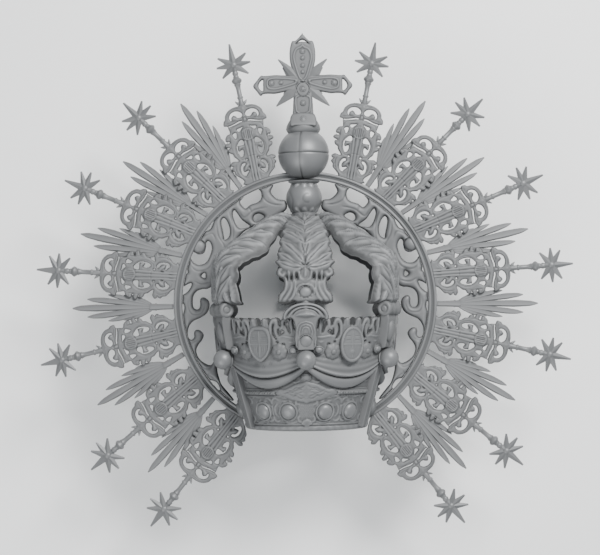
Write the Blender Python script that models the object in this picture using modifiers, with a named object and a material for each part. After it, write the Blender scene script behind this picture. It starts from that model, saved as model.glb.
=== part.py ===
# Royal crown of cast and chased silver with a halo of rays
#
# The crown lies on its back, as it does on a table: its cross points along +Y, its front looks up
# along +Z, and X is its width. Everything is worked out about the middle of the halo, which is on
# the crown's own axis, and a parent empty then carries the crown to where it rests on Z = 0.
#
# A turned piece has its axis along the crown's, so its profile is written as (radius, height).
# Azimuth 0 is the crown's front and 90 degrees its side at +X. Angles in the halo start at the
# cross. Lengths are in metres, written as millimetres times MM.

import math

import bmesh
import bpy
from mathutils import Matrix, Vector

MM = 0.001
GAP = 0.3 * MM  # air between pieces that touch

# Basket: a flaring wall with a cresting above it
RIM_HEIGHT = -155 * MM
RIM_RADIUS = 73.8 * MM
KNOB_HEIGHT = -68.5 * MM
KNOB_LEVEL_RADIUS = 100 * MM
WALL = 2.4 * MM
RIM_BAND = 5.5 * MM
RIM_BAND_PROUD = 1.8 * MM
GIRDLE_HEIGHT = -108.7 * MM
GIRDLE_WIDTH = 5 * MM
GIRDLE_PROUD = 3.2 * MM
SWAG_DROP = 17 * MM
SWAG_PROUD = 8.5 * MM
LOW_SWAG_DROP = 27 * MM
LOW_SWAG_PROUD = 5 * MM
CREST_FOOT_HEIGHT = -60 * MM
CREST_FOOT_RADIUS = 104 * MM
CREST_HEIGHT = 41 * MM
CREST_RADIUS = 113 * MM
CREST_WAVE = 8 * MM
STRAP_WIDTH = 10 * MM
STRAP_PROUD = 5 * MM
GEM_RADIUS = 10.5 * MM
GEM_PROUD = 5.5 * MM
GEM_HEIGHT = -131 * MM
GEM_SPREAD = 15.5  # degrees each side of the middle of a side
SHIELD_WIDTH = 28 * MM
SHIELD_HEIGHT = 42 * MM
SHIELD_PROUD = 3.6 * MM
SECTORS = 6

# Knobs and arches; every knob tip and the leaves of every arch reach the same radius
KNOB_STAND = 19 * MM  # how far a knob stands out from the swag that it is fixed on
REACH = KNOB_LEVEL_RADIUS + SWAG_PROUD + KNOB_STAND
KNOB_RADIUS = 11.8 * MM
KNOB_FLAT = 3.6 * MM
CONSOLE_FOOT_WIDTH = 21 * MM
CONSOLE_TOP_WIDTH = 31 * MM
CONSOLE_DEPTH = 10.5 * MM
CONSOLE_RECESS = 2.2 * MM
CARTOUCHE_WIDTH = 40 * MM
CARTOUCHE_THICKNESS = 3.5 * MM
PEDIMENT_WIDTH = 55 * MM
PEDIMENT_HEIGHT = 20 * MM
PEDIMENT_RISE = 15 * MM
CARTOUCHE_GEM = 8.5 * MM
ARCH_LEAF = 1 * MM  # how far the leaves stand out from the arch
ARCH_RADIUS = REACH - ARCH_LEAF
ARCH_FOOT_HEIGHT = -18.7 * MM
ARCH_SHOULDER_HEIGHT = 43 * MM
ARCH_ROUNDNESS = 1.7
ARCH_WIDTH = 57 * MM
ARCH_LOBE = 7 * MM
ARCH_PITCH = 29 * MM
ARCH_THICKNESS = 5.5 * MM
ARCH_DROOP = 8 * MM

# Halo
HALO_RADIUS = 164.4 * MM
HALO_BAND = 10.6 * MM
HALO_DEPTH = 7 * MM
HALO_GROOVE = 1.6 * MM
HALO_STEPS = 36  # straight lengths in the band
TRACERY_THICKNESS = 3.4 * MM
TRACERY_FIRST = 20.5  # degrees from the cross to where its outer edge starts
PANEL_WIDTH = 57 * MM
PANEL_HEIGHT = 93.5 * MM
PANEL_THICKNESS = 2.8 * MM
STAR_REACH = 147.5 * MM  # from the halo's band to the middle of the star
STAR_POINT = 27.5 * MM
STAR_ARM = 21.8 * MM
STAR_HALF_DEPTH = 4.5 * MM
BALL_RADIUS = 6.2 * MM
ROD_RADIUS = 2.7 * MM
FAN_WIDTH = 32 * MM
FAN_LENGTH = 126 * MM
FAN_THICKNESS = 2.6 * MM

# Globes and cross on the crown's axis
GLOBE_RADIUS = 22.5 * MM
GLOBE_BELOW_HALO = 23.3 * MM  # from the band's inner side to the small globe's middle
GLOBE_HEIGHT = HALO_RADIUS - HALO_BAND - GLOBE_BELOW_HALO
GLOBE_WALL = 1.8 * MM
NECK_RADIUS = 16.5 * MM
NECK_LENGTH = 28.5 * MM  # from the small globe's middle down
NECK_HEIGHT = GLOBE_HEIGHT - NECK_LENGTH
NECK_OVERLAP = 10.5 * MM  # how much of the neck is inside the ring of arches
ARCH_TOP_HEIGHT = NECK_HEIGHT + NECK_OVERLAP
COLLAR_TOP_RADIUS = 18.5 * MM
COLLAR_TOP_EDGE = 2 * MM
ORB_RADIUS = 32 * MM
ORB_ABOVE_HALO = 21.6 * MM  # from the band's outer side to the orb's middle
ORB_HEIGHT = HALO_RADIUS + ORB_ABOVE_HALO
ORB_WALL = 1.6 * MM
ORB_HOLE = 6 * MM
ORB_GROOVE = 0.9 * MM
SHAFT_ABOVE_ORB = 14 * MM
SHAFT_LENGTH = 41 * MM  # from its foot to the middle of the arms
HEAD_HEIGHT = 63 * MM  # from the middle of the arms to the cross's top
SHAFT_FOOT = ORB_HEIGHT + ORB_RADIUS + SHAFT_ABOVE_ORB
CROSS_HEIGHT = SHAFT_FOOT + SHAFT_LENGTH
CROSS_SPAN = 124 * MM
CROSS_DEPTH = 9 * MM
HEAD_WIDTH = 31.5 * MM
ARM_WIDTH = 23 * MM
SHAFT_WIDTH = 24 * MM
RAY_SPAN = 66 * MM
RAY_DEPTH = 5 * MM
COLLAR_RADIUS = 21.5 * MM
COLLAR_SLOPE = 6 * MM
COLLAR_EDGE = 5 * MM
SHAFT_SUNK = 2 * MM  # how far the collar reaches up into the shaft

# Each pair of panels: where its foot stands on the halo, and which way it leans, in degrees
PANELS = [(20.8, 11), (38, 45.2), (57, 67.5), (78, 86.4), (102.3, 103), (124, 130.5), (148, 141.6)]
# Each pair of fans: its foot's place, its lean and its share of the usual length
FANS = [
    (28.7, 34.9, 1.03),
    (47.7, 56.7, 0.99),
    (68.3, 77.4, 1.03),
    (91.1, 90.4, 1.0),
    (112.3, 119.9, 0.99),
    (135.5, 137.9, 0.98),
]

SECTOR = 360 / SECTORS
SIDES = {"left": -1, "right": 1}


def clear_scene():
    for thing in list(bpy.data.objects):
        bpy.data.objects.remove(thing, do_unlink=True)


def new_collection(name, hidden=False):
    collection = bpy.data.collections.new(name)
    bpy.context.scene.collection.children.link(collection)
    collection.hide_render = hidden
    return collection


clear_scene()
CROWN = new_collection("royal_crown")
HELPERS = new_collection("royal_crown_cutters", hidden=True)


def silver(name, shade):
    """A frosted silver of its own for one kind of piece."""
    finish = bpy.data.materials.new(name)
    finish.use_nodes = True
    shader = finish.node_tree.nodes["Principled BSDF"]
    shader.inputs["Base Color"].default_value = (shade, shade, shade * 1.02, 1)
    shader.inputs["Metallic"].default_value = 0.35
    shader.inputs["Roughness"].default_value = 0.55
    return finish


# Helpers that make solids
def add_object(name, data, finish=None, collection=None):
    thing = bpy.data.objects.new(name, data)
    (collection or CROWN).objects.link(thing)
    if finish and not data.materials:
        data.materials.append(finish)
    if collection is HELPERS:
        thing.hide_render = True
        thing.display_type = "WIRE"
    return thing


def frozen(thing):
    """The object's evaluated mesh as plain mesh data, welded, with its place applied."""
    bpy.context.view_layer.update()
    graph = bpy.context.evaluated_depsgraph_get()
    mesh = bpy.data.meshes.new_from_object(thing.evaluated_get(graph))
    mesh.transform(thing.matrix_world)
    work = bmesh.new()
    work.from_mesh(mesh)
    bmesh.ops.remove_doubles(work, verts=work.verts, dist=0.001 * MM)
    bmesh.ops.recalc_face_normals(work, faces=work.faces)
    work.to_mesh(mesh)
    work.free()
    bpy.data.objects.remove(thing, do_unlink=True)
    return mesh


def plate(name, outlines, thickness, finish, height=0.0, collection=None):
    """A flat piece in the halo's plane: the first outline is its edge, the others are holes."""
    curve = bpy.data.curves.new(name, "CURVE")
    curve.dimensions = "2D"
    curve.fill_mode = "BOTH"
    curve.extrude = thickness / 2
    for outline in outlines:
        spline = curve.splines.new("POLY")
        spline.points.add(len(outline) - 1)
        for point, (x, y) in zip(spline.points, outline):
            point.co = (x, y, 0, 1)
        spline.use_cyclic_u = True
    thing = add_object(name, curve, finish, collection)
    thing.location.z = height
    return thing


def mesh_of(name, points, faces):
    mesh = bpy.data.meshes.new(name)
    mesh.from_pydata([tuple(point) for point in points], [], faces)
    return mesh


def turned(name, profile, steps, finish=None, collection=None):
    """A turned piece about the crown's axis from (radius, height) points, outer side first."""
    points = [(radius, 0, height) for radius, height in profile]
    edges = [(i, i + 1) for i in range(len(points) - 1)]
    if profile[0][0] > 0 and profile[-1][0] > 0:
        edges.append((len(points) - 1, 0))
    mesh = bpy.data.meshes.new(name)
    mesh.from_pydata(points, edges, [])
    thing = add_object(name, mesh, finish, collection)
    screw = thing.modifiers.new("turn", "SCREW")
    screw.steps = screw.render_steps = steps
    screw.use_merge_vertices = True
    screw.merge_threshold = 0.0001
    screw.use_normal_calculate = True
    thing.rotation_euler.x = -math.pi / 2
    return thing


def loft(name, sections, closed=False):
    """A solid skin through sections that all have the same number of points."""
    count = len(sections[0])
    points = [point for section in sections for point in section]
    faces = []
    rings = len(sections)
    for ring in range(rings if closed else rings - 1):
        after = (ring + 1) % rings
        for i in range(count):
            j = (i + 1) % count
            faces.append((ring * count + i, ring * count + j, after * count + j, after * count + i))
    if not closed:
        faces.append(tuple(reversed(range(count))))
        faces.append(tuple((rings - 1) * count + i for i in range(count)))
    mesh = mesh_of(name, points, faces)
    work = bmesh.new()
    work.from_mesh(mesh)
    bmesh.ops.recalc_face_normals(work, faces=work.faces)
    work.to_mesh(mesh)
    work.free()
    return mesh


def join_all(name, body, additions, finish, cut=()):
    """One closed mesh from a body, what is fused to it and what is cut from it."""
    for kind, others in (("UNION", additions), ("DIFFERENCE", cut)):
        for other in others:
            step = body.modifiers.new(kind.lower(), "BOOLEAN")
            step.operation = kind
            step.solver = "EXACT"
            step.object = other
    mesh = frozen(body)
    mesh.name = name
    for other in (*additions, *cut):
        bpy.data.objects.remove(other, do_unlink=True)
    return add_object(name, mesh, finish)


def around(azimuth):
    """Turns a shape made for azimuth 0, at the crown's front, to another azimuth."""
    return Matrix.Rotation(math.radians(azimuth), 4, "Y")


def mirrored(half):
    """A closed outline from its right half, which runs from the foot to the top."""
    return half + [(-x, y) for x, y in reversed(half) if abs(x) > 1e-9]


def both_sides(hole):
    return [hole, [(-x, y) for x, y in hole]]


def scaled(points, width, height):
    """Points given in hundredths of half the width and of the height."""
    return [(x / 100 * width / 2, y / 100 * height) for x, y in points]


def in_hundredths(points, size):
    return [(x / 100 * size, y / 100 * size) for x, y in points]


# Basket
def wall_radius(height):
    share = (height - RIM_HEIGHT) / (KNOB_HEIGHT - RIM_HEIGHT)
    return RIM_RADIUS + share * (KNOB_LEVEL_RADIUS - RIM_RADIUS)


def crest_radius(height):
    share = (height - CREST_FOOT_HEIGHT) / CREST_HEIGHT
    return CREST_FOOT_RADIUS + share * (CREST_RADIUS - CREST_FOOT_RADIUS)


def from_nearest(azimuth, spacing):
    """Degrees from the nearest multiple of the spacing."""
    return abs((azimuth + spacing / 2) % spacing - spacing / 2)


def swag_height(azimuth, drop):
    """Lower edge of a cloth swag that hangs between two knobs."""
    across = from_nearest(azimuth, SECTOR) / (SECTOR / 2)
    return KNOB_HEIGHT - drop * math.sin(across * math.pi / 2) ** 0.8


def crest_top(azimuth):
    """The cresting's upper edge, which rises in scrolls beside each shield."""
    wave = math.cos(math.radians(azimuth * SECTORS * 3))
    return CREST_FOOT_HEIGHT + CREST_HEIGHT - CREST_WAVE * (1 + wave) / 2


def basket_section(azimuth):
    """Outer side from the rim up, over the cresting and down the inside, as (radius, height)."""
    low = swag_height(azimuth, LOW_SWAG_DROP)
    high = swag_height(azimuth, SWAG_DROP)
    top = crest_top(azimuth)
    band_top = RIM_HEIGHT + RIM_BAND
    girdle_low = GIRDLE_HEIGHT - GIRDLE_WIDTH / 2
    girdle_high = GIRDLE_HEIGHT + GIRDLE_WIDTH / 2
    return [
        (RIM_RADIUS + RIM_BAND_PROUD, RIM_HEIGHT),
        (wall_radius(band_top) + RIM_BAND_PROUD, band_top),
        (wall_radius(band_top), band_top),
        (wall_radius(girdle_low), girdle_low),
        (wall_radius(GIRDLE_HEIGHT) + GIRDLE_PROUD, GIRDLE_HEIGHT),
        (wall_radius(girdle_high), girdle_high),
        (wall_radius(low) + LOW_SWAG_PROUD, low + LOW_SWAG_PROUD / 3),
        (wall_radius(high) + LOW_SWAG_PROUD / 2, high - LOW_SWAG_PROUD / 3),
        (wall_radius(high) + SWAG_PROUD, high + SWAG_PROUD / 4),
        (crest_radius(CREST_FOOT_HEIGHT), CREST_FOOT_HEIGHT),
        (crest_radius(top), top),
        (crest_radius(top) - WALL, top),
        (crest_radius(CREST_FOOT_HEIGHT) - WALL, CREST_FOOT_HEIGHT),
        (RIM_RADIUS - WALL, RIM_HEIGHT),
    ]


def on_cone(azimuth, radius, height):
    return Vector((radius * math.sin(azimuth), height, radius * math.cos(azimuth)))


def slant(radius_at, low, high):
    """The angle by which a conical wall leans out from the crown's axis."""
    return math.atan2(radius_at(high) - radius_at(low), high - low)


def on_wall(azimuth, radius_at, height, lean):
    """Matrix that stands a piece made in the XY plane, facing +Z, on a conical wall."""
    place = Matrix.Translation((0, height, radius_at(height)))
    return around(azimuth) @ place @ Matrix.Rotation(lean, 4, "X")


def dome(name, radius, proud, sunk, sides):
    """A low gem in its collet, facing +Z, with its foot sunk into the wall behind it."""
    sections = [
        [
            Vector((r * math.cos(a), r * math.sin(a), z))
            for a in (2 * math.pi * (i + 0.5) / sides for i in range(sides))
        ]
        for r, z in ((radius, -sunk), (radius * 0.55, proud))
    ]
    return add_object(name, loft(name, sections), collection=HELPERS)


def oval(width, height, sides):
    return [
        (width / 2 * math.cos(a), height / 2 * math.sin(a))
        for a in (2 * math.pi * i / sides for i in range(sides))
    ]


def shield_outline(width, height):
    """A heater shield: square shoulders, curved sides and a point."""
    half = [(0, -50), (55, -30), (92, 0), (100, 50)]
    return mirrored(scaled(half, width, height))


def make_basket(finish):
    columns = 8 * SECTORS
    sections = []
    for column in range(columns):
        azimuth = 360 * column / columns
        sections.append(
            [on_cone(math.radians(azimuth), r, h) for r, h in basket_section(azimuth)]
        )
    body = add_object("basket_body", loft("basket_body", sections, closed=True))
    additions = []
    wall_lean = slant(wall_radius, RIM_HEIGHT, KNOB_HEIGHT)
    crest_lean = slant(crest_radius, CREST_FOOT_HEIGHT, CREST_FOOT_HEIGHT + CREST_HEIGHT)
    for azimuth in (60, 120, 240, 300):
        half = STRAP_WIDTH / 2
        ends = []
        for height in (RIM_HEIGHT + RIM_BAND / 2, KNOB_HEIGHT - SWAG_PROUD):
            inner = wall_radius(height) - WALL / 2
            outer = wall_radius(height) + STRAP_PROUD
            ends.append(
                [Vector((x, height, z)) for x, z in
                 ((-half, inner), (half, inner), (half, outer), (-half, outer))]
            )
        mesh = loft("strap", ends)
        mesh.transform(around(azimuth))
        additions.append(add_object("strap", mesh, collection=HELPERS))
    for sector in range(SECTORS):
        for side in (-1, 1):
            azimuth = sector * SECTOR + side * GEM_SPREAD
            gem = dome("gem", GEM_RADIUS, GEM_PROUD, WALL / 2, 6)
            gem.matrix_world = on_wall(azimuth, wall_radius, GEM_HEIGHT, wall_lean)
            additions.append(gem)
    middle = CREST_FOOT_HEIGHT + CREST_HEIGHT / 2
    for sector in range(SECTORS):
        azimuth = (sector + 0.5) * SECTOR
        if sector % 2:
            outline = shield_outline(SHIELD_WIDTH, SHIELD_HEIGHT)
        else:
            outline = oval(SHIELD_WIDTH * 0.86, SHIELD_HEIGHT, 6)
        shield = plate("shield", [outline], SHIELD_PROUD * 2, None, collection=HELPERS)
        shield.matrix_world = on_wall(azimuth, crest_radius, middle, crest_lean)
        additions.append(as_mesh(shield))
    return join_all("crown_basket", body, additions, finish)


def as_mesh(thing):
    """A helper curve made a mesh, so that it can be fused."""
    name = thing.name
    return add_object(name, frozen(thing), collection=HELPERS)


# Knobs and arches
def make_knobs(finish):
    """A ball with a small flat at its tip, on a short foot against the wall."""
    foot = wall_radius(KNOB_HEIGHT + SWAG_PROUD / 4) + SWAG_PROUD + GAP
    centre = REACH - math.sqrt(KNOB_RADIUS**2 - KNOB_FLAT**2)
    profile = [(0, REACH)]
    flat_angle = math.acos(KNOB_FLAT / KNOB_RADIUS)
    foot_angle = -math.asin((centre - foot) / KNOB_RADIUS)
    rows = 3
    for row in range(rows + 1):
        angle = flat_angle + (foot_angle - flat_angle) * row / rows
        profile.append((KNOB_RADIUS * math.cos(angle), centre + KNOB_RADIUS * math.sin(angle)))
    profile.append((0, foot))
    knob = turned("knob", profile, 8, collection=HELPERS)
    mesh = frozen(knob)
    mesh.transform(Matrix.Rotation(math.pi / 2, 4, "X"))
    mesh.transform(Matrix.Translation((0, KNOB_HEIGHT, 0)))
    mesh.materials.append(finish)
    for index, name in enumerate(ARCH_PLACES):
        knob = add_object(f"knob_{name}", mesh)
        knob.matrix_world = around(index * SECTOR)


ARCH_PLACES = ["front", "front_right", "back_right", "back", "back_left", "front_left"]


def arch_point(length):
    """Radius, height and outward direction of the arch at a length along it from its foot."""
    straight = ARCH_SHOULDER_HEIGHT - ARCH_FOOT_HEIGHT
    if length <= straight:
        return ARCH_RADIUS, ARCH_FOOT_HEIGHT + length, (1.0, 0.0)
    bend = ARCH_BEND
    after = min(length - straight, bend[-1][0])
    for (l0, r0, h0), (l1, r1, h1) in zip(bend, bend[1:]):
        if after <= l1:
            break
    mix = (after - l0) / (l1 - l0)
    along = Vector((r1 - r0, h1 - h0)).normalized()
    return r0 + mix * (r1 - r0), h0 + mix * (h1 - h0), (along.y, -along.x)


def measure_bend():
    """The arch's shoulder, a rounded quarter, as (length, radius, height) rows."""
    rows = []
    steps = 48
    end = NECK_RADIUS + GAP
    for step in range(steps + 1):
        turn = math.pi / 2 * step / steps
        across = math.cos(turn) ** (2 / ARCH_ROUNDNESS)
        up = math.sin(turn) ** (2 / ARCH_ROUNDNESS)
        radius = end + (ARCH_RADIUS - end) * across
        height = ARCH_SHOULDER_HEIGHT + (ARCH_TOP_HEIGHT - ARCH_SHOULDER_HEIGHT) * up
        if rows:
            step_length = math.hypot(radius - rows[-1][1], height - rows[-1][2])
            rows.append((rows[-1][0] + step_length, radius, height))
        else:
            rows.append((0.0, radius, height))
    return rows


ARCH_BEND = measure_bend()


def arch_section(length, half_width, edge, middle):
    """Six points across the band: edge, rib and ridge outside, and one line inside."""
    radius, height, out = arch_point(length)
    points = []
    for across, rise in (
        (-1, edge),
        (-0.6, middle),
        (0, 0),
        (0.6, middle),
        (1, edge),
        (0, -ARCH_THICKNESS),
    ):
        r = radius + rise * out[0]
        widest = r * math.tan(math.radians(SECTOR / 2)) - GAP
        x = max(-widest, min(widest, across * half_width))
        points.append(Vector((x, height + rise * out[1], r)))
    return points


def make_arches(finish):
    foot = KNOB_HEIGHT + KNOB_RADIUS + GAP
    sections = []
    for height, width in (
        (foot, CONSOLE_FOOT_WIDTH),
        (CREST_FOOT_HEIGHT + CREST_HEIGHT / 2, CONSOLE_FOOT_WIDTH),
        (ARCH_FOOT_HEIGHT, CONSOLE_TOP_WIDTH),
    ):
        inner = crest_radius(height) + GAP
        outer = inner + CONSOLE_DEPTH
        half = width / 2
        sections.append(
            [
                Vector((x, height, z))
                for x, z in (
                    (-half, inner),
                    (-half, outer),
                    (0, outer - CONSOLE_RECESS),
                    (half, outer),
                    (half, inner),
                    (0, inner),
                )
            ]
        )
    straight = ARCH_SHOULDER_HEIGHT - ARCH_FOOT_HEIGHT
    total = straight + ARCH_BEND[-1][0]
    contact = REACH - ARCH_RADIUS
    first = ARCH_PITCH * 0.75
    sections.append(arch_section(first - ARCH_PITCH / 2.4, ARCH_WIDTH * 0.24, -ARCH_DROOP / 2, 0))
    length = first
    wide = ARCH_WIDTH / 2 + ARCH_LOBE / 2
    notch = ARCH_WIDTH / 2 - ARCH_LOBE / 2
    while length < total - ARCH_PITCH / 2:
        radius, height, _ = arch_point(length)
        low = height < ARCH_SHOULDER_HEIGHT
        lift = contact if low else 0
        rows = (-ARCH_PITCH / 8, ARCH_PITCH / 8) if low else (0,)
        for step in rows:
            sections.append(arch_section(length + step, wide, lift, lift))
        if radius > ARCH_WIDTH:
            after = length + ARCH_PITCH / 2
            sections.append(arch_section(after, notch, -ARCH_DROOP, -ARCH_DROOP / 4))
        length += ARCH_PITCH
    sections.append(arch_section(total, ARCH_WIDTH / 2, 0, 0))
    for index, name in enumerate(ARCH_PLACES):
        mesh = loft(f"arch_{name}", sections)
        if name in ("front", "back"):
            body = add_object("arch_body", mesh)
            thing = join_all(f"arch_{name}", body, make_cartouche(), finish)
        else:
            thing = add_object(f"arch_{name}", mesh, finish)
        thing.matrix_world = around(index * SECTOR)


def make_cartouche():
    """A bowed plate before the console, under a round pediment, with a gem."""
    outer = crest_radius(ARCH_FOOT_HEIGHT) + GAP + CONSOLE_DEPTH
    inner = outer - CARTOUCHE_THICKNESS
    foot = KNOB_HEIGHT + KNOB_RADIUS + GAP
    eaves = ARCH_FOOT_HEIGHT + PEDIMENT_RISE - PEDIMENT_HEIGHT
    lean = slant(crest_radius, foot, ARCH_FOOT_HEIGHT)
    sections = []
    for share in (-1, -0.72, -0.7, 0, 0.7, 0.72, 1):
        azimuth = share * math.asin(PEDIMENT_WIDTH / 2 / outer)
        across = abs(share)
        top = eaves + PEDIMENT_HEIGHT * math.sqrt(1 - (across * 0.9) ** 2)
        bottom = foot if across * PEDIMENT_WIDTH < CARTOUCHE_WIDTH else eaves
        section = []
        for radius, height in ((inner, bottom), (outer, bottom), (outer, top), (inner, top)):
            leaning = radius - (ARCH_FOOT_HEIGHT - min(height, ARCH_FOOT_HEIGHT)) * math.tan(lean)
            section.append(on_cone(azimuth, leaning, height))
        sections.append(section)
    plate_mesh = loft("cartouche", sections)
    shell = add_object("cartouche", plate_mesh, collection=HELPERS)
    gem = dome("cartouche_gem", CARTOUCHE_GEM, GEM_PROUD * 0.6, WALL, 7)
    height = foot + CARTOUCHE_GEM * 1.1
    face = outer - (ARCH_FOOT_HEIGHT - height) * math.tan(lean)
    gem.matrix_world = on_wall(0, lambda _: face, height, lean)
    return [shell, gem]


# Globes and cross
def orb_seat(radius):
    """A flat middle and a slope that just clear the orb, as (radius, distance from its centre)."""
    clear = ORB_RADIUS + GAP
    touch = math.asin(radius * 0.65 / clear)
    edge = (clear - radius * math.sin(touch)) / math.cos(touch)
    return [(0, clear), (clear * math.tan(touch / 2), clear), (radius, edge)]


def make_globe(finish):
    """Hollow globe on a neck, open below, with a collar above that the halo passes over."""
    top = math.sqrt(inside_halo() ** 2 - COLLAR_TOP_RADIUS**2)
    profile = [(0, top), (COLLAR_TOP_RADIUS, top), (COLLAR_TOP_RADIUS, top - COLLAR_TOP_EDGE)]
    start = math.acos(0.62)
    end = -math.acos(NECK_RADIUS / GLOBE_RADIUS)
    profile.append(
        (GLOBE_RADIUS * math.cos(start), GLOBE_HEIGHT + GLOBE_RADIUS * math.sin(start))
    )
    rows = 4
    for row in range(1, rows + 1):
        angle = start + (end - start) * row / rows
        profile.append(
            (GLOBE_RADIUS * math.cos(angle), GLOBE_HEIGHT + GLOBE_RADIUS * math.sin(angle))
        )
    profile.append((NECK_RADIUS, NECK_HEIGHT))
    profile.append((NECK_RADIUS - GLOBE_WALL, NECK_HEIGHT))
    inner = GLOBE_RADIUS - GLOBE_WALL
    low = -math.acos((NECK_RADIUS - GLOBE_WALL) / inner)
    rows = 3
    for row in range(rows):
        angle = low + (math.pi / 2 - low) * row / rows
        profile.append((inner * math.cos(angle), GLOBE_HEIGHT + inner * math.sin(angle)))
    profile.append((0, GLOBE_HEIGHT + inner))
    globe = turned("small_globe", profile, 10, finish)
    return globe


def make_orb(finish):
    """Hollow orb with an engraved equator, open and slotted below to sit astride the halo."""
    rows = 5
    hole = math.asin(ORB_HOLE / ORB_RADIUS)
    profile = [(0, ORB_HEIGHT + ORB_RADIUS)]
    for row in range(1, rows):
        angle = math.pi / 2 * (1 - row / rows)
        profile.append((ORB_RADIUS * math.cos(angle), ORB_HEIGHT + ORB_RADIUS * math.sin(angle)))
    profile.append((ORB_RADIUS, ORB_HEIGHT + ORB_GROOVE))
    profile.append((ORB_RADIUS - ORB_GROOVE, ORB_HEIGHT))
    profile.append((ORB_RADIUS, ORB_HEIGHT - ORB_GROOVE))
    for row in range(1, rows):
        angle = -(math.pi / 2 - hole) * row / (rows - 1)
        profile.append((ORB_RADIUS * math.cos(angle), ORB_HEIGHT + ORB_RADIUS * math.sin(angle)))
    inner = ORB_RADIUS - ORB_WALL
    low = -math.acos(ORB_HOLE / inner)
    for row in range(rows):
        angle = low + (math.pi / 2 - low) * row / rows
        profile.append((inner * math.cos(angle), ORB_HEIGHT + inner * math.sin(angle)))
    profile.append((0, ORB_HEIGHT + inner))
    orb = add_object("orb_body", frozen(turned("orb_body", profile, 12)))
    slot = halo_slot()
    return join_all("orb", orb, [], finish, cut=[slot])


def halo_slot():
    """What the halo's band needs to pass with a little air: an arc of square section."""
    inner = inside_halo()
    outer = HALO_RADIUS + GAP
    half = HALO_DEPTH / 2 + GAP
    spread = math.asin(ORB_RADIUS / inner) * 1.2
    sections = []
    for step in range(9):
        angle = spread * (step / 4 - 1)
        section = []
        for radius, z in ((inner, -half), (outer, -half), (outer, half), (inner, half)):
            section.append(Vector((radius * math.sin(angle), radius * math.cos(angle), z)))
        sections.append(section)
    return add_object("halo_slot", loft("halo_slot", sections), collection=HELPERS)


def make_cross(finish):
    """Latin cross with pierced pointed ends, rays between its arms, on a domed collar."""
    head = HEAD_WIDTH / 2
    arm = ARM_WIDTH / 2
    shaft = SHAFT_WIDTH / 2
    reach = CROSS_SPAN / 2
    top = HEAD_HEIGHT
    foot = -SHAFT_LENGTH
    half = [
        (0, foot),
        (shaft, foot),
        (shaft * 0.95, -arm),
        (reach * 0.7, -arm),
        (reach * 0.82, -arm * 1.15),
        (reach, 0),
        (reach * 0.8, arm * 1.1),
        (reach * 0.72, arm),
        (head * 0.7, arm * 0.9),
        (head, top * 0.42),
        (head, top * 0.66),
        (head * 0.84, top * 0.87),
        (0, top),
    ]
    loops = [mirrored(half)]
    loops += both_sides([(reach * 0.79, -arm * 0.5), (reach * 0.91, 0), (reach * 0.79, arm * 0.5)])
    loops.append([(-head * 0.45, top * 0.84), (0, top * 0.92), (head * 0.45, top * 0.84)])
    body = as_mesh(plate("cross_body", loops, CROSS_DEPTH, None, collection=HELPERS))
    ray = RAY_SPAN / 2
    upper = [(0, ray * 0.2), (ray * 0.5, ray * 0.55), (ray * 0.93, ray * 0.93)]
    upper += [(ray * 0.62, ray * 0.48), (ray * 0.78, ray * 0.62), (ray * 0.55, ray * 0.2)]
    lower = [(ray * 0.6, -ray * 0.2), (ray, -ray * 0.82), (ray * 0.3, -ray * 0.45), (0, -ray * 0.2)]
    rays = as_mesh(
        plate("rays", [mirrored(upper + lower)], RAY_DEPTH, None, collection=HELPERS)
    )
    boss = dome("boss", arm * 0.75, CROSS_DEPTH * 0.75, 0, 7)
    boss = add_object("boss_mesh", frozen(boss), collection=HELPERS)
    for piece in (body, rays, boss):
        piece.data.transform(Matrix.Translation((0, CROSS_HEIGHT, 0)))
    seat = [(radius, ORB_HEIGHT + away) for radius, away in orb_seat(COLLAR_RADIUS)]
    profile = [
        (0, SHAFT_FOOT + SHAFT_SUNK),
        (shaft, SHAFT_FOOT + SHAFT_SUNK),
        (COLLAR_RADIUS * 0.86, SHAFT_FOOT - COLLAR_SLOPE),
        (COLLAR_RADIUS, seat[-1][1] + COLLAR_EDGE),
        *reversed(seat),
    ]
    collar = turned("collar", profile, 10, collection=HELPERS)
    collar = add_object("collar_mesh", frozen(collar), collection=HELPERS)
    return join_all("cross", body, [rays, boss, collar], finish)


# Halo
def halo_end(radius):
    """Degrees from the cross at which a ring of this radius meets the basket's wall."""
    low, high = 90.0, 179.0
    for _ in range(50):
        angle = (low + high) / 2
        x = radius * math.sin(math.radians(angle))
        y = radius * math.cos(math.radians(angle))
        if x > wall_radius(y) + GAP:
            low = angle
        else:
            high = angle
    return low


def inside_halo():
    """The radius that just clears the inner side of the band's straight lengths."""
    inner = HALO_RADIUS - HALO_BAND
    return inner * math.cos(math.radians(halo_end(inner)) / HALO_STEPS) - GAP


def make_halo(finish):
    """An open ring: a band with two beads and a groove, whose ends meet the basket's sides."""
    inner = HALO_RADIUS - HALO_BAND
    half = HALO_DEPTH / 2
    groove = half - HALO_GROOVE
    profile = [
        (inner, -half),
        (HALO_RADIUS, -half),
        (HALO_RADIUS, half * 0.6),
        (HALO_RADIUS - HALO_BAND * 0.22, half),
        (HALO_RADIUS - HALO_BAND * 0.5, groove),
        (inner + HALO_BAND * 0.22, half),
        (inner, half * 0.6),
    ]
    sections = []
    for step in range(HALO_STEPS + 1):
        share = 2 * step / HALO_STEPS - 1
        section = []
        for radius, z in profile:
            angle = math.radians(share * halo_end(radius))
            section.append(Vector((radius * math.sin(angle), radius * math.cos(angle), z)))
        sections.append(section)
    return add_object("halo_ring", loft("halo_ring", sections), finish)


def stand_on_halo(foot, lean):
    """Where a piece stands on the halo: its foot, its axis and its sideways direction."""
    at = math.radians(foot)
    way = math.radians(lean)
    root = Vector((math.sin(at), math.cos(at))) * HALO_RADIUS
    axis = Vector((math.sin(way), math.cos(way)))
    aside = Vector((math.cos(way), -math.sin(way)))
    return root, axis, aside


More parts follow.
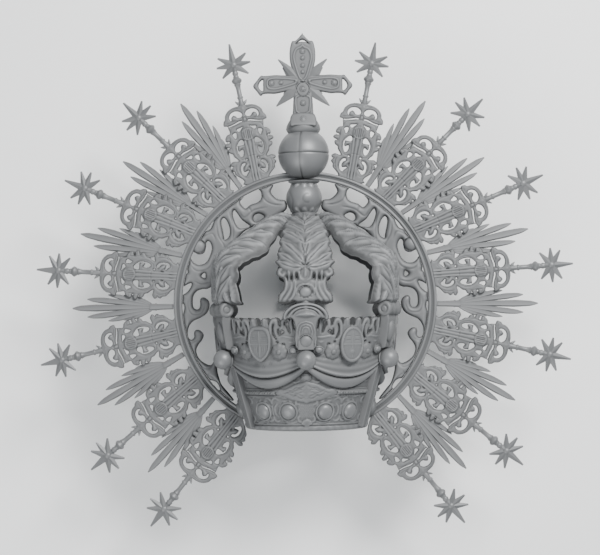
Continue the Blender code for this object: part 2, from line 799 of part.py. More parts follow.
def foot_on_band(stand, across):
    """How far along its axis a piece starts, so that it just clears the band's outer edge."""
    root, axis, aside = stand
    start = root + aside * across
    along = start.dot(axis)
    reach = HALO_RADIUS + GAP
    return -along + math.sqrt(along**2 - start.length_squared + reach**2)


def panel_allowed(point, across, neighbours):
    """True where a panel's point is on its own side of its neighbours and off the basket."""
    for root, _, aside in neighbours:
        if abs(across) + GAP > abs((point - root).dot(aside)):
            return False
    clear = RIM_BAND_PROUD + 2 * GAP
    beside_wall = RIM_HEIGHT - clear < point.y < KNOB_HEIGHT
    return not beside_wall or point.x > wall_radius(point.y) + clear


def panel_loops(index):
    """Outline and openings of one panel at the right of the halo."""
    stand = stand_on_halo(*PANELS[index])
    root, axis, aside = stand
    neighbours = [
        stand_on_halo(*PANELS[i]) for i in (index - 1, index + 1) if 0 <= i < len(PANELS)
    ]
    half = [
        (0, 0),
        (66, 0),
        (98, 17),
        (56, 26),
        (95, 41),
        (90, 61),
        (63, 66),
        (94, 75),
        (84, 91),
        (42, 100),
        (10, 100),
    ]
    loops = [mirrored(scaled(half, PANEL_WIDTH, PANEL_HEIGHT))]
    for hole in (
        [(10, 84), (62, 83), (48, 93)],
        [(22, 54), (30, 28), (56, 43)],
    ):
        loops += both_sides(scaled(hole, PANEL_WIDTH, PANEL_HEIGHT))
    placed = []
    for loop in loops:
        row = []
        for across, along in loop:
            along = max(along, foot_on_band(stand, across)) if along < 1 * MM else along
            point = root + aside * across + axis * along
            while not panel_allowed(point, across, neighbours) and abs(across) > GAP:
                across *= 0.97
                if along < 5 * MM:
                    along = foot_on_band(stand, across)
                point = root + aside * across + axis * along
            row.append(tuple(point))
        placed.append(row)
    return placed


def make_panels(finish):
    for index in range(len(PANELS)):
        loops = panel_loops(index)
        for side, sign in SIDES.items():
            shape = [[(sign * x, y) for x, y in loop] for loop in loops]
            name = f"ray_panel_{side}_{index + 1}"
            plate(name, shape, PANEL_THICKNESS, finish, PANEL_THICKNESS / 2 + GAP / 2)


def make_fans(finish):
    """Sheaves of seven feathers, in a layer behind the panels."""
    half = [
        (18, 0),
        (20, 18),
        (64, 36),
        (98, 64),
        (68, 61),
        (62, 84),
        (48, 86),
        (24, 74),
        (8, 100),
    ]
    for index, (foot, lean, share) in enumerate(FANS):
        stand = stand_on_halo(foot, lean)
        root, axis, aside = stand
        loop = []
        for across, along in mirrored(scaled(half, FAN_WIDTH, FAN_LENGTH * share)):
            along = foot_on_band(stand, across) if along < 1 * MM else along
            loop.append(root + aside * across + axis * along)
        for side, sign in SIDES.items():
            shape = [(sign * x, y) for x, y in loop]
            name = f"feather_fan_{side}_{index + 1}"
            plate(name, [shape], FAN_THICKNESS, finish, -FAN_THICKNESS / 2 - GAP / 2)


def star_mesh(finish):
    """An eight-armed faceted star on its ball and rod; its foot is at the panel's top."""
    inward = math.pi
    arms = [0, 56, 90, 130]
    tips = [math.radians(a) for a in arms] + [inward]
    tips += [2 * math.pi - math.radians(a) for a in reversed(arms[1:])]
    outline = []
    hollow = STAR_ARM * 0.29
    for index, angle in enumerate(tips):
        reach = STAR_POINT if index == 0 else STAR_ARM
        outline.append((reach * math.sin(angle), reach * math.cos(angle)))
        after = tips[(index + 1) % len(tips)] + (2 * math.pi if index == len(tips) - 1 else 0)
        middle = (angle + after) / 2
        outline.append((hollow * math.sin(middle), hollow * math.cos(middle)))
    rim = [Vector((x, y, 0)) for x, y in outline]
    points = [*rim, Vector((0, 0, STAR_HALF_DEPTH)), Vector((0, 0, -STAR_HALF_DEPTH))]
    count = len(rim)
    faces = [((i + 1) % count, i, count) for i in range(count)]
    faces += [(i, (i + 1) % count, count + 1) for i in range(count)]
    star = add_object("star_body", mesh_of("star_body", points, faces), collection=HELPERS)
    neck = STAR_ARM * 0.12
    foot = PANEL_HEIGHT + GAP - STAR_REACH
    stem = turned(
        "stem",
        [
            (0, -STAR_ARM * 0.35),
            (neck, -STAR_ARM * 0.6),
            (BALL_RADIUS, -STAR_ARM * 0.88),
            (ROD_RADIUS, -STAR_ARM * 1.45),
            (ROD_RADIUS, foot),
            (0, foot),
        ],
        5,
        collection=HELPERS,
    )
    stem = add_object("stem_mesh", frozen(stem), collection=HELPERS)
    whole = join_all("star_finial", star, [stem], finish)
    mesh = whole.data
    bpy.data.objects.remove(whole, do_unlink=True)
    return mesh


def make_stars(finish):
    mesh = star_mesh(finish)
    for index, (foot, lean) in enumerate(PANELS):
        root, axis, _ = stand_on_halo(foot, lean)
        centre = root + axis * STAR_REACH
        for side, sign in SIDES.items():
            star = add_object(f"star_finial_{side}_{index + 1}", mesh)
            turn = Matrix.Rotation(-sign * math.radians(lean), 4, "Z")
            place = Matrix.Translation((sign * centre.x, centre.y, PANEL_THICKNESS / 2))
            star.matrix_world = place @ turn


def tracery_loops():
    """Scrollwork between the halo and the crown, in outlines of a few points for each scroll."""
    reach = inside_halo()
    ring = []
    last = halo_end(reach) - 3
    steps = 15
    for step in range(steps + 1):
        angle = math.radians(TRACERY_FIRST + (last - TRACERY_FIRST) * step / steps)
        ring.append((reach * math.sin(angle), reach * math.cos(angle)))
    lowest = ring[-1][1]
    clear = GAP + WALL / 4
    wall = [
        (wall_radius(height) + clear, height)
        for height in (lowest + 2 * MM, GIRDLE_HEIGHT - GIRDLE_WIDTH * 1.5)
    ]
    inside = [
        (69.1, -65.1),
        (73, -48.2),
        (77.5, -40.4),
        (86.6, -48.2),
        (90.6, -37.8),
        (84.7, -30),
        (95.1, -26.1),
        (97.7, -18.2),
        (84.7, -11.1),
        (77.5, -2.6),
        (74.3, 15.6),
        (63.8, 37.8),
        (55.4, 52.1),
        (48.2, 63.2),
        (43, 71),
        (28.7, 74.9),
        (15.6, 76.5),
        (15.1, 84),
        (23.5, 86),
        (27.4, 91.2),
        (25.4, 96.4),
    ]
    loops = [ring + wall + in_hundredths(inside, reach)]
    holes = [
        [(50.8, 80.8), (45.6, 77.5), (37.8, 82.1), (36.5, 91.9), (48.2, 86)],
        [(56.7, 76.2), (52.8, 71), (50.2, 67.1), (54.7, 59.9), (58, 71.7)],
        [(65.8, 69.1), (59.9, 62.5), (62.5, 53.4), (65.8, 56)],
        [(70.4, 65.8), (75.6, 61.9), (79.5, 56), (72.3, 59.3)],
        [(77.5, 50.8), (76.2, 43), (80.1, 33.2), (88.6, 31.9), (89.3, 37.8), (82.7, 40.4), (84.7, 46.9)],
        [(97.7, 13), (90.6, 15.6), (96.4, 6.5)],
        [(83.4, 11.1), (90.6, 5.2), (91.9, -3.9), (86.6, -4.6), (84.7, 2.6)],
    ]
    loops += [in_hundredths(hole, reach) for hole in holes]
    return loops


def make_tracery(finish):
    for side, sign in SIDES.items():
        shape = [[(sign * x, y) for x, y in loop] for loop in tracery_loops()]
        plate(f"scroll_tracery_{side}", shape, TRACERY_THICKNESS, finish)


# The whole crown
plain = silver("frosted_silver", 0.62)
bright = silver("burnished_silver", 0.7)

make_basket(plain)
make_knobs(bright)
make_arches(plain)
make_globe(bright)
make_orb(bright)
make_cross(plain)
make_halo(bright)
make_tracery(plain)
make_panels(plain)
make_fans(plain)
make_stars(bright)


def lay_down():
    """Carries the crown to its resting place: back down on Z = 0, length centred on Y = 0."""
    bpy.context.view_layer.update()
    graph = bpy.context.evaluated_depsgraph_get()
    lengths = []
    for thing in CROWN.objects:
        solid = thing.evaluated_get(graph)
        mesh = solid.to_mesh()
        lengths += [(thing.matrix_world @ vertex.co).y for vertex in mesh.vertices]
        solid.to_mesh_clear()
    rest = bpy.data.objects.new("royal_crown_rest", None)
    CROWN.objects.link(rest)
    rest.location = (0, -(min(lengths) + max(lengths)) / 2, REACH)
    for thing in CROWN.objects:
        if thing is not rest:
            thing.parent = rest


lay_down()
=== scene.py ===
# %% [markdown]
# # A royal crown with a halo of rays
#
# The real thing is silver: sheet that is raised and chased from the front, castings that are screwed
# to it, and a frosted, matt finish; its recesses get painted shade. It lies on its back, so its front looks
# up.
# This lesson dresses the solid model, the frame, piece by piece. Sizes are in millimetres about the
# middle of the halo, with y towards the cross and z out of the front, and are carried to the
# frame's own place in metres when a piece is finished.

import math

import bmesh
import bpy
import numpy as np
from mathutils import Matrix, Vector


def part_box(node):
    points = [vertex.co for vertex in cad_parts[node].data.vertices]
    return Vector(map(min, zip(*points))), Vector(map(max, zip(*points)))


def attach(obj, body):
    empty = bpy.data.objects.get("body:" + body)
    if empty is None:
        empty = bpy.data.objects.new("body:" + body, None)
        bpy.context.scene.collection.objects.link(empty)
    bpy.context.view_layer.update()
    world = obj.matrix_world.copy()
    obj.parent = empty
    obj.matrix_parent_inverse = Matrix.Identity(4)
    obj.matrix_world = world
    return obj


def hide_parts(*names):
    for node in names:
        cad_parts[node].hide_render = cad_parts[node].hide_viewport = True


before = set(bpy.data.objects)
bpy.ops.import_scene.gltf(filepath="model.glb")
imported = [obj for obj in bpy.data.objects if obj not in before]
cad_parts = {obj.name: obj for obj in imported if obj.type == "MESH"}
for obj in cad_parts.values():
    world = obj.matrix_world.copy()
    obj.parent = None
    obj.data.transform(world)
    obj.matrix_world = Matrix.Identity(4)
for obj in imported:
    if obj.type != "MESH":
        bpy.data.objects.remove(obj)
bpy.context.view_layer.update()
MM = 0.001

# %% [markdown]
# The frame says where the halo is, so its place is read from there. The other sizes repeat those of
# the solids. A panel's two numbers are where its foot stands and how it leans, in degrees from the
# top. A sheaf has those too, and its share of the full length.

# %% Driving sizes
halo_low, halo_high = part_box("halo_ring")
HALO_RADIUS, HALO_BAND = 164.4, 10.6
SQUARE = 1.25
LIFT = (halo_low.z + halo_high.z) / 2
SHIFT = halo_high.y - HALO_RADIUS * MM
GAP = 0.3
SIDES = {"left": -1, "right": 1}
AROUND = {"front": 0, "front_right": 60, "back_right": 120, "back": 180, "back_left": 240, "front_left": 300}
PANELS = [(20.8, 11), (38, 45.2), (57, 67.5), (78, 86.4), (102.3, 103), (124, 130.5), (148, 141.6)]
FANS = [(28.7, 34.9, 1.03), (47.7, 56.7, 0.99), (68.3, 77.4, 1.03), (91.1, 90.4, 1.0), (112.3, 119.9, 0.99),
        (135.5, 137.9, 0.98)]
print("halo radius", round(HALO_RADIUS, 1), "mm, middle at y", round(SHIFT, 4), "and z", round(LIFT, 4))


# %% [markdown]
# Frosted silver is silver with a skin of tiny pits, so it scatters light and looks pale grey. Each
# relief below stores how deep a point lies, and the material uses it as painted shade, darkening the
# colour in recesses, and as a painted highlight, lightening it on ridges. A fine noise makes the pits,
# and a broad one makes the tone a little uneven.

# %% Silver
METALLIC, BROAD_NOISE, PIT_NOISE, PIT_DEPTH = 0.25, 22, 1400, 0.15 * MM
COOL_TINT = (0.965, 0.985, 1.0, 1.0)


def add_node(tree, kind, inputs=(), **settings):
    """A node with its settings. An input takes a value, or the output of another node."""
    node = tree.nodes.new(kind)
    for key, value in settings.items():
        setattr(node, key, value)
    for label, value in dict(inputs).items():
        if isinstance(value, bpy.types.NodeSocket):
            tree.links.new(value, node.inputs[label])
        else:
            node.inputs[label].default_value = value
    return node


def silver(name, tone, roughness, pits):
    finish = bpy.data.materials.new(name)
    finish.use_nodes = True
    tree = finish.node_tree
    shader = tree.nodes["Principled BSDF"]
    shader.inputs["Metallic"].default_value = METALLIC
    place = add_node(tree, "ShaderNodeTexCoord").outputs["Object"]
    broad = add_node(tree, "ShaderNodeTexNoise", {"Vector": place, "Scale": BROAD_NOISE, "Detail": 6})
    fine = add_node(tree, "ShaderNodeTexNoise", {"Vector": place, "Scale": PIT_NOISE, "Detail": 3})
    uneven = add_node(tree, "ShaderNodeMapRange", {
        "Value": broad.outputs["Fac"], "From Min": 0.3, "From Max": 0.7, "To Min": tone * 0.93,
        "To Max": tone * 1.05})
    # Painted shade and highlight: the stored values darken the colour in recesses and lighten it on ridges.
    painted_shade_and_highlight = add_node(tree, "ShaderNodeAttribute", attribute_name="painted_shade_and_highlight")
    depth = add_node(tree, "ShaderNodeMapRange", {
        "Value": painted_shade_and_highlight.outputs["Fac"], "From Min": -0.6, "From Max": 1.0, "To Min": 1.4, "To Max": 0.3})
    shade = add_node(tree, "ShaderNodeMath", {0: uneven.outputs["Result"], 1: depth.outputs["Result"]},
                     operation="MULTIPLY")
    channels = {channel: shade.outputs["Value"] for channel in ("Red", "Green", "Blue")}
    grey = add_node(tree, "ShaderNodeCombineColor", channels)
    cool = add_node(tree, "ShaderNodeMix", {"Factor": 1.0, "B": COOL_TINT, "A": grey.outputs["Color"]},
                    data_type="RGBA", blend_type="MULTIPLY")
    rough = add_node(tree, "ShaderNodeMapRange", {
        "Value": fine.outputs["Fac"], "To Min": roughness, "To Max": roughness + 0.2})
    bump = add_node(tree, "ShaderNodeBump", {
        "Strength": pits, "Distance": PIT_DEPTH, "Height": fine.outputs["Fac"]})
    tree.links.new(cool.outputs["Result"], shader.inputs["Base Color"])
    tree.links.new(rough.outputs["Result"], shader.inputs["Roughness"])
    tree.links.new(bump.outputs["Normal"], shader.inputs["Normal"])
    return finish


FROSTED = silver("frosted_silver", 0.13, 0.5, 0.5)
BURNISHED = silver("burnished_silver", 0.155, 0.36, 0.2)
print("finishes:", FROSTED.name, "and", BURNISHED.name)


# %% [markdown]
# Every piece is finished in one way: its points are scaled to metres and carried to the frame's
# place, edges sharper than an angle stay crisp while the rest is shaded smooth, and it is then told
# which body it rides on and which finish it has, while the solid it stands for is hidden.


def mesh_from(name, points, faces, painted_shade_and_highlight=None, crisp=50):
    mesh = bpy.data.meshes.new(name)
    mesh.from_pydata(np.asarray(points).tolist(), [], faces)
    mesh.polygons.foreach_set("use_smooth", [True] * len(mesh.polygons))
    # Painted shade and highlight, one value per point, for the material to darken or lighten the colour.
    if painted_shade_and_highlight is not None:
        layer = mesh.attributes.new("painted_shade_and_highlight", "FLOAT", "POINT")
        layer.data.foreach_set("value", np.asarray(painted_shade_and_highlight, dtype=np.float32))
    mesh.set_sharp_from_angle(angle=math.radians(crisp))
    return mesh


def ring_quads(rows, steps):
    """The faces between neighbouring rings of points, each of so many steps."""
    starts = [row * steps for row in range(rows)]
    after = [(step + 1) % steps for step in range(steps)]
    return [(a + k, a + after[k], a + steps + after[k], a + steps + k) for a in starts for k in range(steps)]


def set_outward(mesh, weld=False):
    """Turns all faces outwards; a weld first closes poles, where a ring shrinks to a point."""
    work = bmesh.new()
    work.from_mesh(mesh)
    if weld:
        bmesh.ops.remove_doubles(work, verts=work.verts, dist=0.001)
    bmesh.ops.recalc_face_normals(work, faces=work.faces)
    work.to_mesh(mesh)
    work.free()
    return mesh


def joined(name, meshes):
    """Several meshes as one; the single ones are used up."""
    whole = bmesh.new()
    for mesh in meshes:
        whole.from_mesh(mesh)
        bpy.data.meshes.remove(mesh)
    result = bpy.data.meshes.new(name)
    whole.to_mesh(result)
    whole.free()
    return result


def add_object(name, data):
    thing = bpy.data.objects.new(name, data)
    bpy.context.scene.collection.objects.link(thing)
    return thing


def finish_piece(name, mesh, finish, *nodes, turn=None):
    if turn is not None:
        mesh.transform(turn)
        if turn.determinant() < 0:
            mesh.flip_normals()
    mesh.transform(Matrix.Translation((0, SHIFT, LIFT)) @ Matrix.Scale(MM, 4))
    mesh.materials.clear()
    mesh.materials.append(finish)
    mesh.name = name
    piece = add_object(name, mesh)
    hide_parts(*nodes)
    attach(piece, "root")
    return piece


def finish_pair(name, mesh, finish, node, place=Matrix()):
    """A left and a right piece from one mesh; their names have the side in place of the braces."""
    for side, sign in SIDES.items():
        turn = Matrix.Diagonal((sign, 1, 1, 1)) @ place
        finish_piece(name.format(side), mesh.copy(), finish, node.format(side), turn=turn)


def finish_around(name, mesh, finish, node, places):
    """A copy for each place round the crown; their names have the place in place of the braces."""
    for place in places:
        turn = Matrix.Rotation(math.radians(AROUND[place]), 4, "Y")
        finish_piece(name.format(place), mesh.copy(), finish, node.format(place), turn=turn)


# %% [markdown]
# Chased ornament is drawn with strokes. A **Relief** is a grid of points on the sheet that stores
# for each one how far inside the metal it is and how high it is raised. A stroke is a smooth curve
# with a width: points nearer to it than its width are metal, and they rise in a round bar. Where
# strokes meet, the higher one wins, which leaves the sharp valley that a chasing tool leaves.
# Only the right half is drawn, because the grid reads |x|.

# %% Relief
class Relief:
    def __init__(self, low, high, cell, mirrored=True):
        counts = [max(2, round((b - a) / cell)) for a, b in zip(low, high)]
        self.columns = np.linspace(low[0], high[0], counts[0] + 1)
        self.rows = np.linspace(low[1], high[1], counts[1] + 1)
        self.x, self.y = np.meshgrid(self.columns, self.rows)
        self.u = np.abs(self.x) if mirrored else self.x
        self.inside = np.full(self.x.shape, -9.0)
        self.rise = np.zeros(self.x.shape)


def smooth_path(points, density=8):
    """A curve through the given points."""
    p = np.asarray(points, dtype=float)
    if len(p) == 2:
        return np.linspace(p[0], p[1], 3)
    padded = np.vstack([2 * p[0] - p[1], p, 2 * p[-1] - p[-2]])
    t = np.linspace(0, 1, density, endpoint=False)[:, None]
    rows = []
    for a, b, c, d in zip(padded, padded[1:], padded[2:], padded[3:]):
        rows.append(
            0.5 * (2 * b + (c - a) * t + (2 * a - 5 * b + 4 * c - d) * t**2
                   + (3 * b - a - 3 * c + d) * t**3)
        )
    return np.vstack([*rows, p[-1:]])


def measure(relief, path, reach):
    """For the grid near a path: where it is, its distance and its share of the way."""
    near_x = (relief.u > path[:, 0].min() - reach) & (relief.u < path[:, 0].max() + reach)
    near = near_x & (relief.y > path[:, 1].min() - reach) & (relief.y < path[:, 1].max() + reach)
    x, y = relief.u[near], relief.y[near]
    best = np.full(x.shape, 1e9)
    share = np.zeros(x.shape)
    steps = np.linalg.norm(np.diff(path, axis=0), axis=1)
    start = np.concatenate([[0], np.cumsum(steps)])
    for a, b, step, before in zip(path, path[1:], steps, start):
        if step < 1e-9:
            continue
        along = (b - a) / step
        t = np.clip((x - a[0]) * along[0] + (y - a[1]) * along[1], 0, step)
        distance = np.hypot(x - a[0] - t * along[0], y - a[1] - t * along[1])
        closer = distance < best
        best[closer] = distance[closer]
        share[closer] = (before + t[closer]) / start[-1]
    return near, best, share


def spread(widths, share):
    """The width at each share of the way, between the widths that are given."""
    return np.interp(share, np.linspace(0, 1, len(widths)), widths)


def stroke(relief, points, widths, rise, groove=0.0, lift=0.0):
    """A round bar, with a groove along its middle if one is asked for."""
    path = smooth_path(points)
    near, distance, share = measure(relief, path, max(widths) + 1.5)
    width = np.maximum(spread(widths, share), 0.05)
    across = np.clip(distance / width, 0, 1)
    bar = rise * np.sqrt(1 - across**2) * np.clip(width / max(widths), 0.35, 1)
    bar *= 1 - groove * np.exp(-((across / 0.3) ** 2))
    relief.inside[near] = np.maximum(relief.inside[near], width - distance)
    relief.rise[near] = np.maximum(relief.rise[near], np.where(across < 1, lift + bar, 0))


def strokes(relief, bars, rise, **more):
    """A stroke for each pair of points and widths."""
    for points, widths in bars:
        stroke(relief, points, widths, rise, **more)


def leaf(relief, points, width, rise, veins=2, lift=0.0):
    """A pointed leaf along a curve, with a midrib and slanting veins that scallop its edge."""
    path = smooth_path(points)
    near, distance, share = measure(relief, path, width + 1.5)
    outline = width * np.sin(np.pi * np.clip(share, 0.02, 1) ** 0.75) ** 0.8
    slant = share * veins - distance / width * 0.5
    scallop = 0.5 + 0.5 * np.cos(2 * np.pi * slant)
    outline = np.maximum(outline * (0.84 + 0.16 * scallop), 0.05)
    across = np.clip(distance / outline, 0, 1)
    blade = rise * (1 - across**2 * 0.85) * (0.8 + 0.2 * scallop)
    blade *= 1 - 0.35 * np.exp(-((distance / (width * 0.1)) ** 2))
    relief.inside[near] = np.maximum(relief.inside[near], outline - distance)
    relief.rise[near] = np.maximum(relief.rise[near], np.where(across < 1, lift + blade, 0))


def gem(relief, centre, size, rise, collar=0.22, lift=0.0):
    """A domed stone, round or oval, in a raised rim."""
    q = np.hypot((relief.u - centre[0]) / size[0], (relief.y - centre[1]) / size[1])
    stone = rise * np.sqrt(np.clip(1 - (q / (1 - collar)) ** 2, 0, 1))
    rim = rise * 0.55 * np.sqrt(np.clip(1 - ((q - 1 + collar / 2) / (collar / 2)) ** 2, 0, 1))
    relief.inside = np.maximum(relief.inside, (1 - q) * min(size))
    raised = lift + np.maximum(stone, rim)
    relief.rise = np.where(q < 1, np.maximum(raised, relief.rise * 0.3), relief.rise)


def boss(relief, centre, reach, rise):
    """A plain round ball, half sunk."""
    q = np.hypot(relief.u - centre[0], relief.y - centre[1]) / reach
    relief.inside = np.maximum(relief.inside, (1 - q) * reach)
    relief.rise = np.where(q < 1, rise * np.sqrt(np.clip(1 - q**2, 0.05, 1)), relief.rise)


def inside_loop(relief, points, density=5):
    """Signed distance to a smooth closed loop, positive within it."""
    p = np.asarray(points, dtype=float)
    path = smooth_path(np.vstack([p[-1:], p, p[:2]]), density)[density:-density]
    low, high = path.min(0) - 9, path.max(0) + 9
    near = (relief.u > low[0]) & (relief.u < high[0]) & (relief.y > low[1]) & (relief.y < high[1])
    x, y = relief.u[near], relief.y[near]
    distance = np.full(x.shape, 1e9)
    within = np.zeros(x.shape, dtype=bool)
    for a, b in zip(path, np.roll(path, -1, axis=0)):
        along = b - a
        length = max(along @ along, 1e-12)
        t = np.clip(((x - a[0]) * along[0] + (y - a[1]) * along[1]) / length, 0, 1)
        distance = np.minimum(distance, np.hypot(x - a[0] - t * along[0], y - a[1] - t * along[1]))
        if a[1] != b[1]:
            crossing = (y >= min(a[1], b[1])) & (y < max(a[1], b[1]))
            within ^= crossing & (x < a[0] + (y - a[1]) * along[0] / (b[1] - a[1]))
    return near, np.where(within, distance, -distance)


def plate(relief, points, density=5):
    """Sheet that is cut to an outline."""
    near, distance = inside_loop(relief, points, density)
    relief.inside[near] = np.maximum(relief.inside[near], distance)


def openings(relief, loops):
    """Holes that are sawn out of the plate."""
    for points in loops:
        near, distance = inside_loop(relief, points)
        relief.inside[near] = np.minimum(relief.inside[near], -distance)


def panel_field(relief, points, rise, slope):
    """A raised field with sloping sides."""
    near, distance = inside_loop(relief, points)
    raised = rise * np.clip(distance / slope, 0, 1)
    relief.rise[near] = np.maximum(relief.rise[near], raised)


def swell(relief, width, rise):
    """Rounds the metal off towards every border, so a ribbon between openings becomes a round bar."""
    share = np.clip(relief.inside / width, 0, 1)
    relief.rise = np.maximum(relief.rise, rise * np.sqrt(1 - (1 - share) ** 2))


def eased(relief, width):
    """Lets a relief run out gently at its border."""
    relief.rise *= np.sqrt(np.clip(relief.inside / width, 0, 1))


def pierce(relief, points, widths):
    """An opening along a curve."""
    near, distance, share = measure(relief, smooth_path(points), max(widths) + 2)
    relief.inside[near] = np.minimum(relief.inside[near], distance - spread(widths, share))


def chase(relief, lines, width, depth):
    """A line that is punched down along each curve."""
    for points in lines:
        near, distance, share = measure(relief, smooth_path(points), width * 2.5)
        taper = np.clip(np.minimum(share, 1 - share) * 6, 0, 1)
        relief.rise[near] -= depth * taper * np.exp(-((distance / width) ** 2))


print("relief tools: stroke, leaf, gem, boss, plate, openings, swell, eased, pierce, chase")


# %% [markdown]
# To cast a relief, the grid is walked cell by cell. A cell with all its corners in the metal becomes
# a face. One on the border is cut where the metal ends, between its corners, so outlines are smooth
# however coarse the grid is. The border then gets a wall down to a flat back. Each point's height is
# compared with that of its surroundings, blurred, to paint shade into recesses and a highlight on
# ridges. What lies beyond the metal counts as high, so the edges of openings get painted shade too.

# %% Casting a relief
PAINTED_SHADE_BLUR, PAINTED_SHADE_DEPTH = 9, 0.9


def blurred(values, rounds):
    for _ in range(rounds):
        padded = np.pad(values, 1, mode="edge")
        values = (padded[:-2, 1:-1] + padded[2:, 1:-1] + padded[1:-1, :-2] + padded[1:-1, 2:]
                  + 2 * padded[1:-1, 1:-1]) / 6
    return values


def cut_cells(inside, x, y):
    """Outline faces and their points: grid corners first, then cuts on rows, then on columns."""
    rows, columns = inside.shape
    corner = np.arange(rows * columns).reshape(rows, columns)
    on_row = rows * columns + np.arange(rows * (columns - 1)).reshape(rows, columns - 1)
    first = rows * columns + rows * (columns - 1)
    on_column = first + np.arange((rows - 1) * columns).reshape(rows - 1, columns)
    metal = inside > 0

    def between(axis):
        a = inside[:, :-1] if axis else inside[:-1]
        b = inside[:, 1:] if axis else inside[1:]
        share = np.clip(a / np.where(np.abs(a - b) < 1e-9, 1, a - b), 0.02, 0.98)
        cut = []
        for grid in (x, y):
            low = grid[:, :-1] if axis else grid[:-1]
            high = grid[:, 1:] if axis else grid[1:]
            cut.append((low + share * (high - low)).ravel())
        return cut, share

    row_cut, row_share = between(True)
    column_cut, column_share = between(False)
    px = np.concatenate([x.ravel(), row_cut[0], column_cut[0]])
    py = np.concatenate([y.ravel(), row_cut[1], column_cut[1]])
    corners = [metal[:-1, :-1], metal[:-1, 1:], metal[1:, 1:], metal[1:, :-1]]
    corner_ids = [corner[:-1, :-1], corner[:-1, 1:], corner[1:, 1:], corner[1:, :-1]]
    side_ids = [on_row[:-1], on_column[:, 1:], on_row[1:], on_column[:, :-1]]
    kind = sum(c.astype(int) << k for k, c in enumerate(corners))
    faces, borders = [], []
    for case in range(1, 16):
        cells = kind == case
        if not cells.any():
            continue
        order, cut_flags = [], []
        for k in range(4):
            now, after = case >> k & 1, case >> (k + 1) % 4 & 1
            if now:
                order.append(corner_ids[k][cells])
                cut_flags.append(False)
            if now != after:
                order.append(side_ids[k][cells])
                cut_flags.append(True)
        faces += np.stack(order, axis=1).tolist()
        for k, cut in enumerate(cut_flags):
            after = (k + 1) % len(order)
            if cut and cut_flags[after] and case != 15:
                borders.append(np.stack([order[k], order[after]], axis=1))
    return px, py, faces, np.vstack(borders), (row_share, column_share)


def at_cuts(values, shares):
    """Grid values, followed by the values where the rows and the columns are cut."""
    across, up = shares
    on_rows = values[:, :-1] + across * (values[:, 1:] - values[:, :-1])
    on_columns = values[:-1] + up * (values[1:] - values[:-1])
    return np.concatenate([values.ravel(), on_rows.ravel(), on_columns.ravel()])


def cast(name, relief, base, place, crisp=42, inside=None, flat_back=True):
    """A closed mesh: the relief on a plate as thick as the base, carried by a placing function."""
    metal = (relief.inside if inside is None else inside).copy()
    metal[[0, -1]] = -1.0
    metal[:, [0, -1]] = -1.0
    height = np.where(metal > -1.5, relief.rise, 0.0)
    # Painted shade: a point lower than its blurred surroundings is darkened in the colour, a higher one
    # lightened as a painted highlight.
    around = np.where(metal > 0, height, np.percentile(height[metal > 0], 70))
    painted_shade_and_highlight = np.clip((blurred(around, PAINTED_SHADE_BLUR) - height) / PAINTED_SHADE_DEPTH, -1, 0.75)
    px, py, faces, border, shares = cut_cells(metal, relief.x, relief.y)
    top = at_cuts(height, shares)
    painted_shading = at_cuts(painted_shade_and_highlight, shares)
    used = np.unique(np.concatenate([np.concatenate(faces), border.ravel()]))
    renamed = np.full(len(px), -1)
    renamed[used] = np.arange(len(used))
    px, py, top, painted_shading = px[used], py[used], top[used], painted_shading[used]
    faces = [renamed[face].tolist() for face in faces]
    border = renamed[border]
    count = len(used)
    front = place(px, py, base + np.maximum(top, -base * 0.7))
    back = place(px, py, np.zeros(count))
    under = [[i + count for i in reversed(face)] for face in faces]
    walls = [[b, a, a + count, b + count] for a, b in border.tolist()]
    mesh = mesh_from(
        name, np.vstack([front, back]), faces + under + walls, np.concatenate([painted_shading, painted_shading * 0]), crisp
    )
    if flat_back:
        merge_back(mesh, count, set(border.ravel().tolist()))
    return mesh


def flat_place(lift, up=0):
    """A placing function that keeps a drawing flat, lifted towards the front and moved up."""
    return lambda x, y, z: np.column_stack([x * SQUARE, up + y * SQUARE, z + lift])


def around_place(radius, height, angle):
    """Points this far from the crown's upright axis, at this height and angle from the front."""
    return np.column_stack([radius * np.sin(angle), height, radius * np.cos(angle)])


def merge_back(mesh, count, border):
    """The flat back needs few faces, so its small ones are merged, in the same order on each run."""
    work = bmesh.new()
    work.from_mesh(mesh)
    work.verts.ensure_lookup_table()
    inner = [v for v in work.verts[count:] if v.index - count not in border]
    edges = list(dict.fromkeys(e for v in inner for e in v.link_edges))
    bmesh.ops.dissolve_limit(work, angle_limit=0.01, verts=inner, edges=edges)
    work.to_mesh(mesh)
    work.free()


print("casting tools ready")

# %% [markdown]
# The halo stands on a ring. A panel or a sheaf has a foot on the ring's outer edge, an axis that
# leans as it fans out, and a sideways direction.

# %% Places on the halo
def stand_on_halo(foot, lean):
    at, way = math.radians(foot), math.radians(lean)
    root = np.array([math.sin(at), math.cos(at)]) * HALO_RADIUS
    axis = np.array([math.sin(way), math.cos(way)])
    aside = np.array([math.cos(way), -math.sin(way)])
    return root, axis, aside


print("a panel's foot stands at", np.round(stand_on_halo(*PANELS[0])[0], 1).tolist(), "mm")

# %% [markdown]
# The openwork panel is drawn on squared paper, one square to 1.25 mm, about the panel's middle. A
# sheet is cut to the outline, and the openings are sawn out of it. What stays between them is
# rounded into ribbons, as a chaser does from the front. Then the ribbons get a line along their
# middle, the openings hooked ends, the side leaves their veins, and the column its rods, with a
# fluted oval shield and a stone above it.

# %% The panel's sheet
PANEL_FOOT = -38


